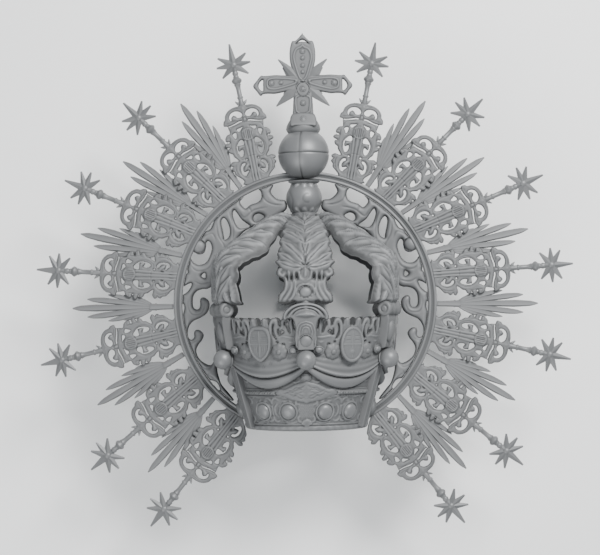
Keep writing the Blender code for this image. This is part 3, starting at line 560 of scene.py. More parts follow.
def cut_panel():
    panel = Relief((-26, -41), (26, 41), 0.58)
    plate(panel, [(-4, 37.6), (4, 38.4), (10, 37.8), (15, 35.6), (18.6, 31.6), (19.6, 27.6), (21.4, 25.4),
                  (21.9, 21.6), (18.6, 20.6), (17.8, 17.2), (17.2, 13.2), (20.4, 12), (22.8, 9), (23, 6.4),
                  (21.4, 4.6), (24.2, 2.8), (24.4, 0.4), (21.6, -1), (22.8, -3.4), (21.4, -6.2),
                  (18.8, -7.6), (17.8, -10.6), (15.2, -13.6), (14.2, -15.8), (16.8, -15.6), (20.2, -15.2),
                  (23.2, -17.6), (21.8, -20.4), (22.6, -23.2), (20.6, -25.4), (20, -28.6),
                  (17, -31.4), (14, -34.2), (12.8, -37), (13.4, -39.6), (-4, -39.6)])
    openings(panel, [
        [(2, 28.4), (1.7, 30.4), (4, 33), (8, 34), (12, 33), (14.4, 30.4), (14.9, 27.4),
         (13.8, 25.4), (12.5, 26.4), (12.2, 28.6), (10.6, 30.2), (8.4, 29.2), (6.8, 27.2), (3.8, 27)],
        [(3, 23.5), (6, 23.5), (10, 22.2), (14, 21), (17, 20.6), (17.8, 19.6), (14, 20),
         (9.6, 21), (5.4, 22.3), (3, 22.4)],
        [(3.4, 17.5), (6, 16.8), (9.6, 16), (9.4, 14), (7.6, 13.2), (5.6, 15.2)],
        [(11.2, 12.6), (13.6, 12.6), (15.2, 11.2), (14.2, 9), (12.8, 6.6), (11.4, 8.6)],
        [(6, -0.4), (5.6, 3), (7.2, 4.8), (9.2, 4.4), (11.4, 2), (12.7, -0.2), (9.4, -0.7)],
        [(12.4, -0.6), (13.2, -0.7), (13.6, -3.4), (13, -7.6), (11.4, -11.4), (9.2, -11.8),
         (7.6, -8.4), (8, -5), (10.2, -5.6), (12.2, -4.4)],
        [(5.2, -15.2), (6.6, -15), (6.8, -16.2), (5.6, -16.6)],
        [(8, -18.8), (10.4, -18.6), (12.9, -21.4), (13.6, -25.8), (12.4, -30), (9.8, -31.6),
         (8.2, -29.6), (6.2, -27.6), (6.2, -26.6), (9, -27.2), (10.8, -27.4), (11.6, -25),
         (10.6, -22), (8.6, -20.6)],
        [(3.4, -23.2), (4.4, -23.2), (4.4, -24.6), (3.5, -24.6)],
        [(2.1, -31.8), (3.3, -31.8), (3.9, -34), (2.7, -34.6)],
    ])
    pierce(panel, [(20.6, 4.6), (19.4, 4.4)], [0.9, 0.4])
    pierce(panel, [(22.4, -1.2), (20.4, -1.4)], [0.7, 0.3])
    pierce(panel, [(23.4, -20.2), (20.8, -20.2)], [0.8, 0.3])
    return panel


panel_drawing = cut_panel()
print("panel grid:", panel_drawing.x.shape)


# %% Chasing the panel
def chase_panel(panel):
    swell(panel, 2.3, 1.7)
    column = [(0, -38), (0, -26), (0, -8), (0, 6), (0, 16), (0, 21)]
    stroke(panel, column, [3, 3.2, 4.4, 5.4, 4.8, 1.6], 1.6)
    rods = [([(x, -38), (x, -18), (x * 1.3, 2)], [w, w, w * 1.5]) for x, w in ((0.0, 1.4), (3.0, 1.1))]
    strokes(panel, rods, 1.6, lift=1.3)
    chase(panel, [[(0, -12.5), (4.4, -12.9)]], 0.4, 0.6)
    chase(panel, [
        [(3, 20.4), (9, 20), (14.4, 18.2), (16.2, 15.6), (14.6, 14.4)],
        [(8.4, 11.6), (11, 5.2), (14.4, -0.4), (15.3, -6), (13.4, -12), (9.4, -15), (5, -13.4)],
        [(4, -19), (8, -17.8), (12, -18.6), (14.8, -22.6), (14.9, -27.4), (12.4, -32), (8.6, -33.8),
         (5.4, -31.6)],
        [(1, 36), (8, 36.3), (14, 34.3), (17.2, 30.2), (17, 25.8)],
        [(5, 25.2), (11, 24.3), (16.4, 23.2), (20.6, 23.2)],
        [(18.4, 10.8), (18.6, 5), (18.8, -1), (18.2, -5)],
        [(17, -18), (18.6, -22), (17.8, -27), (15.4, -31.4)],
    ], 0.42, 0.7)
    strokes(panel, [
        ([(6.4, 24.8), (8.6, 26), (10.8, 27)], [1.2, 1.8, 2.4]),
        ([(5, -2), (8, -2.2), (10.8, -3.2), (11.2, -5)], [1.2, 1.5, 1.9, 1.3]),
        ([(5, -20.6), (7.4, -22.6), (9, -25.2), (10.4, -26)], [1.2, 1.9, 1.9, 1.1]),
    ], 2.6, lift=0.3)
    chase(panel, [
        [(19, 9.4), (22.4, 8)], [(19.6, 2.6), (23.6, 1.8)], [(19.2, -3), (22, -3.6)],
        [(19, -16.8), (22.4, -17.6)], [(19.4, -22.6), (22, -23)], [(17, -28.6), (19.4, -28)],
    ], 0.4, 0.6)
    oval = [(7.4 * math.sin(a), 9 + 7.6 * math.cos(a)) for a in np.radians(np.arange(0, 360, 30))]
    panel_field(panel, oval, 3.4, 1.6)
    for across in (0.0, 2.0, 4.0, 5.8):
        high = 6.2 * math.sqrt(1 - (across / 7) ** 2)
        chase(panel, [[(across * 0.9, 9 - high), (across, 9), (across * 0.9, 9 + high)]], 0.42, 1.0)
    gem(panel, (0, 24.4), (2.4, 3), 2.2)
    stroke(panel, [(0, 31), (0, 36), (0, 39)], [1.6, 2.6, 1.7], 2.2)
    panel.rise += 0.5


chase_panel(panel_drawing)
print("highest point of the panel above its sheet, in mm:", round(float(panel_drawing.rise.max()), 1))

# %% [markdown]
# Each panel is cast from the same drawing, but it is trimmed where it would run into its neighbour,
# the ring or the basket's side, as the fitter's file does.

# %% Casting and fitting the panels
RIM_HEIGHT, RIM_RADIUS = -155, 73.8
KNOB_HEIGHT, KNOB_LEVEL_RADIUS = -68.5, 100
RIM_BAND_PROUD = 1.8
PANEL_BASE = 1.5


def wall_radius(height):
    share = (height - RIM_HEIGHT) / (KNOB_HEIGHT - RIM_HEIGHT)
    return RIM_RADIUS + share * (KNOB_LEVEL_RADIUS - RIM_RADIUS)


def trimmed(relief, index):
    """The panel's metal, less what its place on the halo has no room for."""
    root, axis, aside = stand_on_halo(*PANELS[index])
    across = relief.x * SQUARE
    along = (relief.y - PANEL_FOOT) * SQUARE
    x = root[0] + across * aside[0] + along * axis[0]
    y = root[1] + across * aside[1] + along * axis[1]
    room = np.hypot(x, y) - HALO_RADIUS + 0.4
    for other in (index - 1, index + 1):
        if 0 <= other < len(PANELS):
            there, _, beside = stand_on_halo(*PANELS[other])
            away = np.abs((x - there[0]) * beside[0] + (y - there[1]) * beside[1])
            room = np.minimum(room, away - np.abs(across) - GAP)
    beside_wall = (y > RIM_HEIGHT - 3) & (y < KNOB_HEIGHT)
    wall = x - wall_radius(y) - RIM_BAND_PROUD - 2 * GAP
    room = np.where(beside_wall, np.minimum(room, wall), room)
    return np.minimum(relief.inside, room / SQUARE)


def make_panels():
    for index, stand in enumerate(PANELS):
        root, axis, aside = stand_on_halo(*stand)

        def place(x, y, z):
            across, along = x * SQUARE, (y - PANEL_FOOT) * SQUARE
            flat = root[None] + across[:, None] * aside[None] + along[:, None] * axis[None]
            return np.column_stack([flat, z + GAP / 2])

        mesh = cast("panel", panel_drawing, PANEL_BASE, place, inside=trimmed(panel_drawing, index))
        number = index + 1
        finish_pair(f"openwork_panel_{{}}_{number}", mesh, FROSTED, f"ray_panel_{{}}_{number}")
        print("faces of panel", number, "on each side:", len(mesh.polygons))
        bpy.data.meshes.remove(mesh)


make_panels()

# %% [markdown]
# The halo's ring is a drawn moulding: two rolls with a channel between them. It is bent into a circle
# and stops at the basket's sides. Its section is walked round the circle, and each line of the
# moulding ends where that line meets the basket.

# %% The halo's ring
HALO_DEPTH = 7.0
RING_STEPS = 160


def ring_end(radius):
    """How far round, in degrees from the top, a line of the ring runs before it meets the basket."""
    low, high = 120.0, 179.0
    for _ in range(40):
        middle = (low + high) / 2
        x, y = radius * math.sin(math.radians(middle)), radius * math.cos(math.radians(middle))
        if y > RIM_HEIGHT and x > wall_radius(y) + GAP:
            low = middle
        else:
            high = middle
    return low


def ring_section():
    """Points across the ring's face and back: the distance from its outer edge and the height."""
    half = HALO_DEPTH / 2
    roll = HALO_BAND * 0.19
    face = []
    for middle in (roll, HALO_BAND - roll):
        for step in range(9):
            turn = math.pi * step / 8
            face.append((middle - roll * math.cos(turn), half - roll * (1 - math.sin(turn)) * 0.8))
        if middle == roll:
            face += [(HALO_BAND * 0.43, half - 2.1), (HALO_BAND * 0.5, half - 1.3),
                     (HALO_BAND * 0.57, half - 2.1)]
    back = [(HALO_BAND, -half + 1), (HALO_BAND - 1, -half), (1, -half), (0, -half + 1)]
    return face + back


def make_ring():
    section = ring_section()
    points, faces = [], []
    for inward, z in section:
        radius = HALO_RADIUS - inward
        last = math.radians(ring_end(radius))
        for step in range(RING_STEPS + 1):
            angle = last * (2 * step / RING_STEPS - 1)
            points.append((radius * math.sin(angle), radius * math.cos(angle), z))
    row = RING_STEPS + 1
    for line in range(len(section)):
        here, there = line * row, (line + 1) % len(section) * row
        faces += [(here + i, there + i, there + i + 1, here + i + 1) for i in range(RING_STEPS)]
    faces.append([line * row for line in range(len(section))][::-1])
    faces.append([line * row + RING_STEPS for line in range(len(section))])
    mesh = mesh_from("ring", points, faces, crisp=60)
    mesh.flip_normals()
    piece = finish_piece("halo_moulding", set_outward(mesh), BURNISHED, "halo_ring")
    print("ring faces:", len(piece.data.polygons))


make_ring()

# %% [markdown]
# What repeats is grown with **Geometry Nodes**. The helper makes a tree from a list of named inputs,
# sets a modifier's inputs by their identifiers, and turns the result into a plain mesh.

# %% Growing with nodes
def new_tree(name, inputs):
    tree = bpy.data.node_groups.new(name, "GeometryNodeTree")
    face = tree.interface
    face.new_socket("Geometry", in_out="INPUT", socket_type="NodeSocketGeometry")
    for label, kind, value in inputs:
        face.new_socket(label, in_out="INPUT", socket_type=kind).default_value = value
    face.new_socket("Geometry", in_out="OUTPUT", socket_type="NodeSocketGeometry")
    return tree, tree.nodes.new("NodeGroupInput").outputs, tree.nodes.new("NodeGroupOutput")


def named(tree, label):
    """What the start mesh stores under this name."""
    node = add_node(tree, "GeometryNodeInputNamedAttribute", data_type="FLOAT", inputs={"Name": label})
    return node.outputs["Attribute"]


def end_tree(tree, geometry, finish, leave):
    """The last nodes of a tree: real copies, with their finish."""
    real = add_node(tree, "GeometryNodeRealizeInstances", {"Geometry": geometry})
    coat = add_node(tree, "GeometryNodeSetMaterial", {
        "Geometry": real.outputs["Geometry"], "Material": finish})
    tree.links.new(coat.outputs["Geometry"], leave.inputs["Geometry"])
    return tree


def set_on_points(tree, entry, thing, turn, size):
    """A copy of a thing on every point, turned and stretched."""
    spin = add_node(tree, "FunctionNodeEulerToRotation", {"Euler": turn})
    spots = add_node(tree, "GeometryNodeInstanceOnPoints", {
        "Points": entry["Geometry"], "Instance": thing, "Rotation": spin.outputs["Rotation"], "Scale": size})
    return spots.outputs["Instances"]


def vector(tree, **parts):
    return add_node(tree, "ShaderNodeCombineXYZ", parts).outputs["Vector"]


def line_mesh(name, points, edges, **attributes):
    mesh = bpy.data.meshes.new(name)
    mesh.from_pydata([tuple(p) for p in points], edges, [])
    for label, values in attributes.items():
        mesh.attributes.new(label, "FLOAT", "POINT").data.foreach_set("value", values)
    return mesh


def grown(name, tree, start, settings):
    """The plain mesh that a tree makes of a start mesh."""
    thing = add_object(name, start)
    modifier = thing.modifiers.new("grow", "NODES")
    modifier.node_group = tree
    for item in tree.interface.items_tree:
        if item.in_out == "INPUT" and item.name in settings:
            modifier[item.identifier] = settings[item.name]
    evaluated = thing.evaluated_get(bpy.context.evaluated_depsgraph_get())
    mesh = bpy.data.meshes.new_from_object(evaluated)
    thing.modifiers.remove(modifier)
    bpy.data.objects.remove(thing)
    return mesh


print("growing tools ready")

# %% [markdown]
# A sheaf of rays is seven lances that spring from one neck, so the tree lays a ridged section along
# each drawn line. The section follows the line's own width, which runs out to a point.

# %% The sheaf's tree
def lance_tree():
    tree, entry, leave = new_tree(
        "lances", [("Sides", "NodeSocketInt", 6), ("Flatness", "NodeSocketFloat", 0.33)]
    )
    line = add_node(tree, "GeometryNodeMeshToCurve", {"Mesh": entry["Geometry"]})
    upright = add_node(tree, "GeometryNodeSetCurveNormal", {"Curve": line.outputs["Curve"]}, mode="Z_UP")
    section = add_node(tree, "GeometryNodeCurvePrimitiveCircle", {
        "Resolution": entry["Sides"], "Radius": 1.0})
    ridged = add_node(tree, "GeometryNodeTransform", {
        "Geometry": section.outputs["Curve"], "Rotation": (0, 0, math.pi / 6)})
    flat = add_node(tree, "GeometryNodeTransform", {
        "Geometry": ridged.outputs["Geometry"], "Scale": vector(tree, X=1.15, Y=entry["Flatness"], Z=1.0)})
    sweep = add_node(tree, "GeometryNodeCurveToMesh", {
        "Curve": upright.outputs["Curve"], "Profile Curve": flat.outputs["Geometry"],
        "Scale": named(tree, "width"), "Fill Caps": True})
    return end_tree(tree, sweep.outputs["Mesh"], FROSTED, leave)


LANCE_TREE = lance_tree()


def swept(name, lines, flatness, sides=6):
    """Round or ridged bars along lines; each line is its points, its widths and its height."""
    points, widths, edges = [], [], []
    for path, width, z in lines:
        smooth = smooth_path(path, 4)
        shares = np.linspace(0, 1, len(smooth))
        start = len(points)
        points += [(x, y, z) for x, y in smooth]
        widths += spread(width, shares).tolist()
        edges += [(i, i + 1) for i in range(start, len(points) - 1)]
    start_mesh = line_mesh(name, points, edges, width=widths)
    return set_outward(grown(name, LANCE_TREE, start_mesh, {"Sides": sides, "Flatness": flatness}))


print("tree:", LANCE_TREE.name)

# %% The sheaves of rays
SHEAF_LENGTH, SHEAF_SQUARES = 126, 102
SHEAF_FLATNESS, SHEAF_HEIGHT = 0.46, -1.5
RAY_RIDGE = math.radians(25)


def sheaf_lines():
    lines = [
        ([(0, 20), (0, 50), (0, 78), (0, 94), (0, 102)], [1.6, 2.9, 3.6, 2.7, 0.6]),
        ([(1.6, 22), (5, 50), (7.4, 70), (8.5, 81), (9, 87)], [1.3, 2.8, 3.1, 2.1, 0.5]),
        ([(2.6, 22), (7.8, 42), (10.8, 54), (12.4, 61.5), (13.2, 66)], [1.1, 2.5, 2.5, 1.6, 0.4]),
        ([(3, 22), (8, 33), (10.6, 41), (12, 46.5), (12.6, 50)], [0.9, 2.0, 1.9, 1.2, 0.4]),
        ([(0, 20), (3.6, 24), (6.8, 30), (9, 36), (8.6, 39)], [1.0, 1.5, 1.7, 1.3, 0.9]),
        ([(0, 0), (0, 8), (0, 16), (0, 24)], [2.6, 2.8, 3.2, 3.6]),
        ([(-3.6, 18), (0, 17.4), (3.6, 18)], [1.1, 1.4, 1.1]),
    ]
    whole = []
    for path, widths in lines:
        whole.append((path, widths))
        if path[-1][0] > 0 and path[0][0] >= 0:
            whole.append(([(-x, y) for x, y in path], widths))
    return whole


def painted_shading_on_sides(mesh):
    """Painted shade on faces that lean away from the front, and a painted highlight on those that face it."""
    facing = np.empty(3 * len(mesh.vertices))
    mesh.vertices.foreach_get("normal", facing)
    layer = mesh.attributes.new("painted_shade_and_highlight", "FLOAT", "POINT")
    layer.data.foreach_set("value", (0.75 - 1.3 * np.abs(facing[2::3])).astype(np.float32))


def make_sheaves():
    for index, (foot, lean, share) in enumerate(FANS):
        root, axis, aside = stand_on_halo(foot, lean)
        size = share * SHEAF_LENGTH / SHEAF_SQUARES
        lines = []
        for path, widths in sheaf_lines():
            placed = [tuple(root + aside * x * size + axis * (y * size + 0.6)) for x, y in path]
            lines.append((placed, [w * size for w in widths], SHEAF_HEIGHT))
        mesh = swept("sheaf", lines, SHEAF_FLATNESS, sides=4)
        mesh.set_sharp_from_angle(angle=RAY_RIDGE)
        # Painted shade on the flanks of the rays and a painted highlight on their fronts.
        painted_shading_on_sides(mesh)
        finish_pair(f"ray_sheaf_{{}}_{index + 1}", mesh, FROSTED, f"feather_fan_{{}}_{index + 1}")
    print("sheaves:", 2 * len(FANS), "faces each:", len(mesh.polygons))


make_sheaves()

# %% [markdown]
# Each panel ends in a star on a turned rod. A star is eight ridged arms of two lengths round a boss,
# so the tree sets one arm on every point of a tiny wheel and stretches it to that arm's reach.

# %% The star's tree
STAR_REACH, STAR_HEIGHT, PANEL_REACH = 147.5, 1.4, 95.5
ARMS = [(0, 27.0), (56, 21.6), (90, 21.6), (130, 21.6), (180, 17), (230, 21.6), (270, 21.6), (304, 21.6)]


def star_tree():
    tree, entry, leave = new_tree(
        "star",
        [("Arm Width", "NodeSocketFloat", 3.3), ("Arm Depth", "NodeSocketFloat", 2.6),
         ("Tip", "NodeSocketFloat", 0.16)],
    )
    arm = add_node(tree, "GeometryNodeMeshCone", {
        "Vertices": 4, "Side Segments": 3, "Radius Bottom": 1, "Radius Top": entry["Tip"], "Depth": 1})
    laid = add_node(tree, "GeometryNodeTransform", {
        "Geometry": arm.outputs["Mesh"], "Rotation": (-math.pi / 2, 0, 0)})
    size = vector(tree, X=entry["Arm Width"], Y=named(tree, "reach"), Z=entry["Arm Depth"])
    arms = set_on_points(tree, entry, laid.outputs["Geometry"], vector(tree, Z=named(tree, "turn")), size)
    return end_tree(tree, arms, BURNISHED, leave)


STAR_TREE = star_tree()
print("tree:", STAR_TREE.name)


# %% Turning
def turned(name, profile, steps):
    """A lathe's work about y; the profile is (radius, y) from one end of the axis to the other."""
    angles = [2 * math.pi * step / steps for step in range(steps)]
    points = [(r * math.cos(angle), y, r * math.sin(angle)) for r, y in profile for angle in angles]
    last = (len(profile) - 1) * steps
    faces = ring_quads(len(profile) - 1, steps)
    faces += [list(range(steps))[::-1], list(range(last, last + steps))]
    return set_outward(mesh_from(name, points, faces, crisp=40), weld=True)


def domed(name, size, rise, steps=16, rows=5, petals=0, cut=0.0):
    """A low round or oval dome on z = 0, with petals if they are asked for."""
    points = []
    for share in (row / rows for row in range(rows + 1)):
        for step in range(steps):
            angle = 2 * math.pi * step / steps
            lobe = 1 - cut * (0.5 - 0.5 * math.cos(petals * angle)) * share
            reach = math.sin(share * math.pi / 2) * lobe
            points.append((size[0] * reach * math.cos(angle), size[1] * reach * math.sin(angle),
                           rise * math.cos(share * math.pi / 2) * lobe))
    faces = [(a, d, c, b) for a, b, c, d in ring_quads(rows, steps)]
    faces.append([rows * steps + step for step in range(steps)][::-1])
    return set_outward(mesh_from(name, points, faces), weld=True)


print("lathe ready")


# %% The star finials
def make_star():
    hub = [(0, 0, 0)] * len(ARMS)
    wheel = line_mesh(
        "wheel", hub, [], turn=[-math.radians(a) for a, _ in ARMS], reach=[r for _, r in ARMS]
    )
    star = grown("star", STAR_TREE, wheel, {"Arm Width": 5.4, "Arm Depth": 3.6, "Tip": 0.2})
    star.polygons.foreach_set("use_smooth", [False] * len(star.polygons))
    over = domed("boss", (5.4, 5.4), 4.3, 16, 5, petals=8, cut=0.12)
    under = over.copy()
    under.transform(Matrix.Diagonal((1, 1, -0.9, 1)))
    under.flip_normals()
    top = PANEL_REACH - STAR_REACH
    stem = turned("stem", [
        (0.01, -8), (3.2, -8.5), (4.0, -11), (3.0, -13.6), (3.8, -15.2), (3.6, -16), (5.8, -18.4),
        (6.6, -20), (6, -21.8), (3.9, -24.2), (4.5, -25.4), (3.7, -26.6), (3.0, -30), (3.0, top + 12),
        (3.8, top + 11), (3.8, top + 9.6), (3.0, top + 8.6), (3.4, top + 1.6), (3.0, top), (0.01, top)], 14)
    hooks = [[(0, top + 1), (4 * side, top + 3), (7.4 * side, top + 6.5)] for side in (-1, 1)]
    spikes = swept("spikes", [(hook, [1.6, 1.9, 0.5], 0) for hook in hooks], 0.8)
    return joined("star", [star, over, under, stem, spikes])


def make_stars():
    pattern = make_star()
    for index, stand in enumerate(PANELS):
        root, axis, aside = stand_on_halo(*stand)
        centre = root + axis * STAR_REACH
        place = Matrix(((aside[0], axis[0], 0, centre[0]), (aside[1], axis[1], 0, centre[1]),
                        (0, 0, 1, STAR_HEIGHT), (0, 0, 0, 1)))
        finish_pair(f"star_{{}}_{index + 1}", pattern, BURNISHED, f"star_finial_{{}}_{index + 1}", place)
    print("stars:", 2 * len(PANELS), "faces each:", len(pattern.polygons))


make_stars()

# %% [markdown]
# Between the halo and the crown runs openwork of thick scrolls. It is drawn in the same squares, but
# about the halo's middle, and in two halves, so that each half can be a casting of its own. Its
# ribbons are far rounder than the panels', so the swell is wider and higher. One curl ends in a ball.

# %% Cutting the scrolls
TRACERY_BASE = 2.0
ring_inside = (HALO_RADIUS - HALO_BAND) / SQUARE


def round_points(centre, radius, first, last, count):
    angles = np.radians(np.linspace(first, last, count))
    return [(centre[0] + radius * math.sin(a), centre[1] + radius * math.cos(a)) for a in angles]


def cut_tracery():
    drawing = Relief((14, -116), (124, 124), 0.72, mirrored=False)
    edge = round_points((0, 0), ring_inside - 0.4, 14.8, 142, 34)
    wall = [(72.4, -96), (80.2, -86)]
    inner = [(84.9, -80), (88, -70), (89.2, -61), (89.6, -54.6), (92, -57), (93.8, -60.4), (96.6, -61.2),
             (100.6, -59.6), (104.4, -57), (107.4, -53.6), (109.4, -48.2), (108.8, -44), (106.6, -40),
             (103.6, -36.4), (101.8, -32), (103, -28.6), (106.4, -26), (110, -26.2), (111.4, -29),
             (111.2, -32.8), (112.8, -35.2), (115.4, -35.4), (117.2, -33), (117.8, -29), (117.2, -24.8),
             (115.4, -20.8), (112, -17.2), (107, -14.9), (101.4, -12), (98, -8.8), (96, -4.1), (95.8, 1),
             (97.8, 4.4), (101, 6.4), (104, 5.8), (105.2, 3), (105, -1.2), (106.4, -5), (110, -5.2),
             (112.2, -2.2), (112.4, 4), (111.2, 9), (108, 12.8), (102.4, 14.6), (97.4, 15), (92, 19),
             (87, 31), (78.3, 46.4), (72, 56), (66, 66), (59, 73), (50, 77),
             (40, 80.4), (31, 84.6), (24, 89), (18.6, 92.6), (17, 97), (19, 102.6), (25, 103.4), (29.4, 106),
             (33.2, 111), (31, 117)]
    plate(drawing, edge + wall + inner, 3)
    openings(drawing, [
        [(64, 101), (59, 95), (54, 98.4), (45.6, 101.6), (42.6, 107), (45, 113.4), (54, 110.6), (60, 106.6)],
        [(70, 93.4), (66, 88.6), (62, 83), (54.6, 77), (63.6, 75), (67.6, 78), (70, 83), (71.4, 89)],
        [(81, 85.6), (77.4, 82.4), (74.6, 74), (75.6, 67), (79.8, 64), (80.8, 69), (83, 81)],
        [(91, 82.6), (95, 79.6), (100.6, 72.6), (95, 74), (92, 78.6)],
        [(96, 62.6), (93.4, 59), (93.2, 53), (97, 43.6), (102, 39.6), (108, 39.4), (112.8, 43.4),
         (113.6, 48.6), (111, 51.6), (106, 49.4), (100.6, 51), (98.8, 56), (98.2, 61)],
        [(118.4, 35.6), (117.2, 31.4), (120.6, 29.6)],
        [(100, 31), (99.8, 25.6), (103.6, 28)],
        [(122, 16.6), (113.4, 20.8), (116.6, 13.4), (122.4, 9.6)],
        [(122.4, 0.8), (120.8, -3.8), (122.8, -11)],
        [(97, -77.6), (93, -76.8), (88.4, -79.8), (86, -86), (90, -84)],
        [(24, 119), (18, 117), (16.8, 111), (19.6, 105.6), (26.4, 106.4), (31, 111.4)],
        [(40.4, 86.4), (45, 89.6), (49.8, 88), (50.8, 83.6), (47.6, 81.6)],
    ])
    return drawing


def chase_tracery(drawing):
    swell(drawing, 5.0, 4.6)
    boss(drawing, (106, 57.4), 7.0, 6.2)
    chase(drawing, [
        [(20, 98), (30, 98.4), (38, 102), (42, 109), (43, 117)],
        [(36, 96), (50, 93), (60, 86), (66, 94)],
        [(52, 90), (58, 100), (66, 104)],
        [(72, 60), (71, 72), (72.4, 84), (76, 94)],
        [(84, 42), (80, 56), (86, 68), (88, 84)],
        [(88, 62), (92, 70), (100, 68), (108, 66), (114, 60)],
        [(88, 34), (90, 48), (96, 36), (108, 33), (116, 42)],
        [(94, 22), (104, 20), (112, 24)],
        [(116, 6), (117, -2), (113, -10), (104, -9.4), (100.4, -3), (101, 2)],
        [(118, -16), (119.6, -29), (116, -38), (109, -37), (106, -31)],
        [(113, -42), (110.6, -54), (104, -62), (97, -65), (91.6, -60)],
        [(96, -68), (100, -72), (106, -70)],
        [(84, -84), (90, -76), (98, -70)],
    ], 0.8, 0.7)
    drawing.rise = np.where(drawing.inside > -1, drawing.rise, 0)


tracery_drawing = cut_tracery()
chase_tracery(tracery_drawing)
print("tracery grid:", tracery_drawing.x.shape)


# %% Casting the scrolls
def tracery_room(relief):
    """The scrolls stop short of the ring, the collar of the small globe and the basket's side."""
    x, y = relief.x * SQUARE, relief.y * SQUARE
    room = HALO_RADIUS - HALO_BAND - GAP - np.hypot(x, y)
    beside_wall = y < KNOB_HEIGHT
    wall = x - wall_radius(y) - 2 * GAP
    room = np.where(beside_wall, np.minimum(room, wall), room)
    return np.minimum(relief.inside, room / SQUARE)


def make_tracery():
    room = tracery_room(tracery_drawing)
    mesh = cast("tracery", tracery_drawing, TRACERY_BASE, flat_place(GAP - TRACERY_BASE), inside=room)
    finish_pair("scrollwork_{}", mesh, FROSTED, "scroll_tracery_{}")
    print("scrollwork faces each:", len(mesh.polygons))


make_tracery()

# %% [markdown]
# The basket is the crown's headband. It is raised from sheet, so its ornament is pushed out from
# behind and chased from the front. Its side repeats six times, once for each knob, so one sixth is
# drawn flat and wrapped round the cone. From the rim up it has a rolled edge, a band of oval stones,
# a moulding, and two tiers of cloth that hang in swags from knob to knob.

# %% Drawing a sixth of the basket
CREST_FOOT_HEIGHT = -60
SIXTH = math.radians(60)
BAND_SQUARES = 70
HALF_SIXTH = BAND_SQUARES * SIXTH / 2
BASKET_TOP = (CREST_FOOT_HEIGHT - RIM_HEIGHT) / SQUARE
GIRDLE, STONE_ROW = 37, 19.2


def sag(u):
    """How far the cloth hangs, from 0 at a knob to 1 midway between two."""
    return np.sin(np.clip(u / HALF_SIXTH, 0, 1) * math.pi / 2) ** 0.8


def draw_basket(stone):
    """A sixth with its stones' places this far from its middle."""
    side = Relief((-HALF_SIXTH, 0), (HALF_SIXTH, BASKET_TOP), 0.84)
    v = side.y
    notched = 0.86 + 0.14 * np.cos(side.x / HALF_SIXTH * math.pi * 8)
    for middle, half, high in ((2.4, 2.6, 1.9 * notched), (6.6, 1.0, 0.9), (GIRDLE, 2.4, 2.5),
                               (GIRDLE - 3.3, 0.9, 1.1), (GIRDLE + 3.3, 0.9, 1.1)):
        side.rise = np.maximum(side.rise, high * np.sqrt(np.clip(1 - ((v - middle) / half) ** 2, 0, 1)))
    strokes(side, [
        ([(1.5, 10), (5, 8.6), (8.6, 10.4), (8.4, 14), (5.4, 14.6)], [0.6, 1.1, 1.3, 1.2, 0.8]),
        ([(2, 30), (6, 32.4), (10, 30.6), (10.4, 27), (7.4, 26)], [0.6, 1.1, 1.3, 1.2, 0.8]),
        ([(12.6, 31), (17, 33.4), (21.6, 32.4), (26, 33)], [0.6, 1.2, 1.2, 0.6]),
        ([(10.6, 9), (15, 8.2), (20, 8.6), (26, 8.4)], [0.6, 1.1, 1.1, 0.6]),
        ([(29, 11), (32.4, 9.4), (35.6, 11), (36.6, 14)], [0.6, 1.1, 1.2, 0.9]),
        ([(28.6, 30), (32, 32), (35.4, 30), (36.6, 26.6)], [0.6, 1.1, 1.2, 0.9]),
        ([(30.6, 14), (33.6, 17), (33.6, 23), (30.6, 26.4)], [0.7, 1.3, 1.3, 0.7]),
        ([(36.6, 16.4), (36.6, 24)], [1.3, 1.3]),
        ([(30, 42), (33, 45.6), (36.6, 46)], [0.7, 1.2, 1.0]),
        ([(22, 49), (26, 45), (31, 44)], [0.7, 1.2, 0.7]),
        ([(4, 56), (7.4, 52), (12, 51.4)], [0.7, 1.3, 0.7]),
        ([(6, 49), (10, 47.4), (14, 49.4)], [0.7, 1.1, 0.7]),
    ], 1.1)
    for turn in range(10):
        way = math.radians(turn * 36 + 18)
        here = (stone + 9.2 * math.sin(way), STONE_ROW + 9.2 * math.cos(way))
        there = (stone + 11.8 * math.sin(way + 0.2), STONE_ROW + 11.8 * math.cos(way + 0.2))
        stroke(side, [here, there], [1.9, 0.8], 1.0)
    for step in range(4):
        for row in range(8):
            gem(side, (step * 2.0 + (row % 2), 14 + row * 1.6), (0.85, 0.75), 0.7)
    for step in range(-3, 4):
        way = step * 0.36
        blade = [(0, 4.6), (5.6 * math.sin(way), 4.6 + 6.2 * math.cos(way))]
        stroke(side, blade, [0.5, 1.15], 1.7, lift=0.4)
    return side


def draw_lozenge(side):
    """The long leaf across the moulding, chased with wavy lines."""
    leaf_edge = [(-3, 47.6), (4, 47.2), (10, 45.8), (16, 42.8), (21, 40.6), (26, 41), (30, 38),
                 (31.4, 36.6), (28, 34.6), (22, 33.2), (16, 30.6), (10, 29.2), (4, 28.2), (-3, 28)]
    near, distance = inside_loop(side, leaf_edge)
    body = 1.3 + 1.2 * np.clip(distance / 8, 0, 1)
    inside = distance > 0
    rise = side.rise[near]
    rise[inside] = body[inside] * np.clip(distance[inside] / 1.1, 0, 1) ** 0.5
    side.rise[near] = rise
    for level in (-6.4, -3.2, 0, 3.2, 6.4):
        share = 1 - abs(level) / 9
        line = [(x * (0.45 + 0.55 * share), 37.8 + level * (1 - x / 42) + 0.7 * math.sin(x * 0.5 + level))
                for x in range(0, 27, 3)]
        chase(side, [line], 0.45, 0.9)
    gem(side, (0, 52.2), (4.6, 4.2), 2.4)


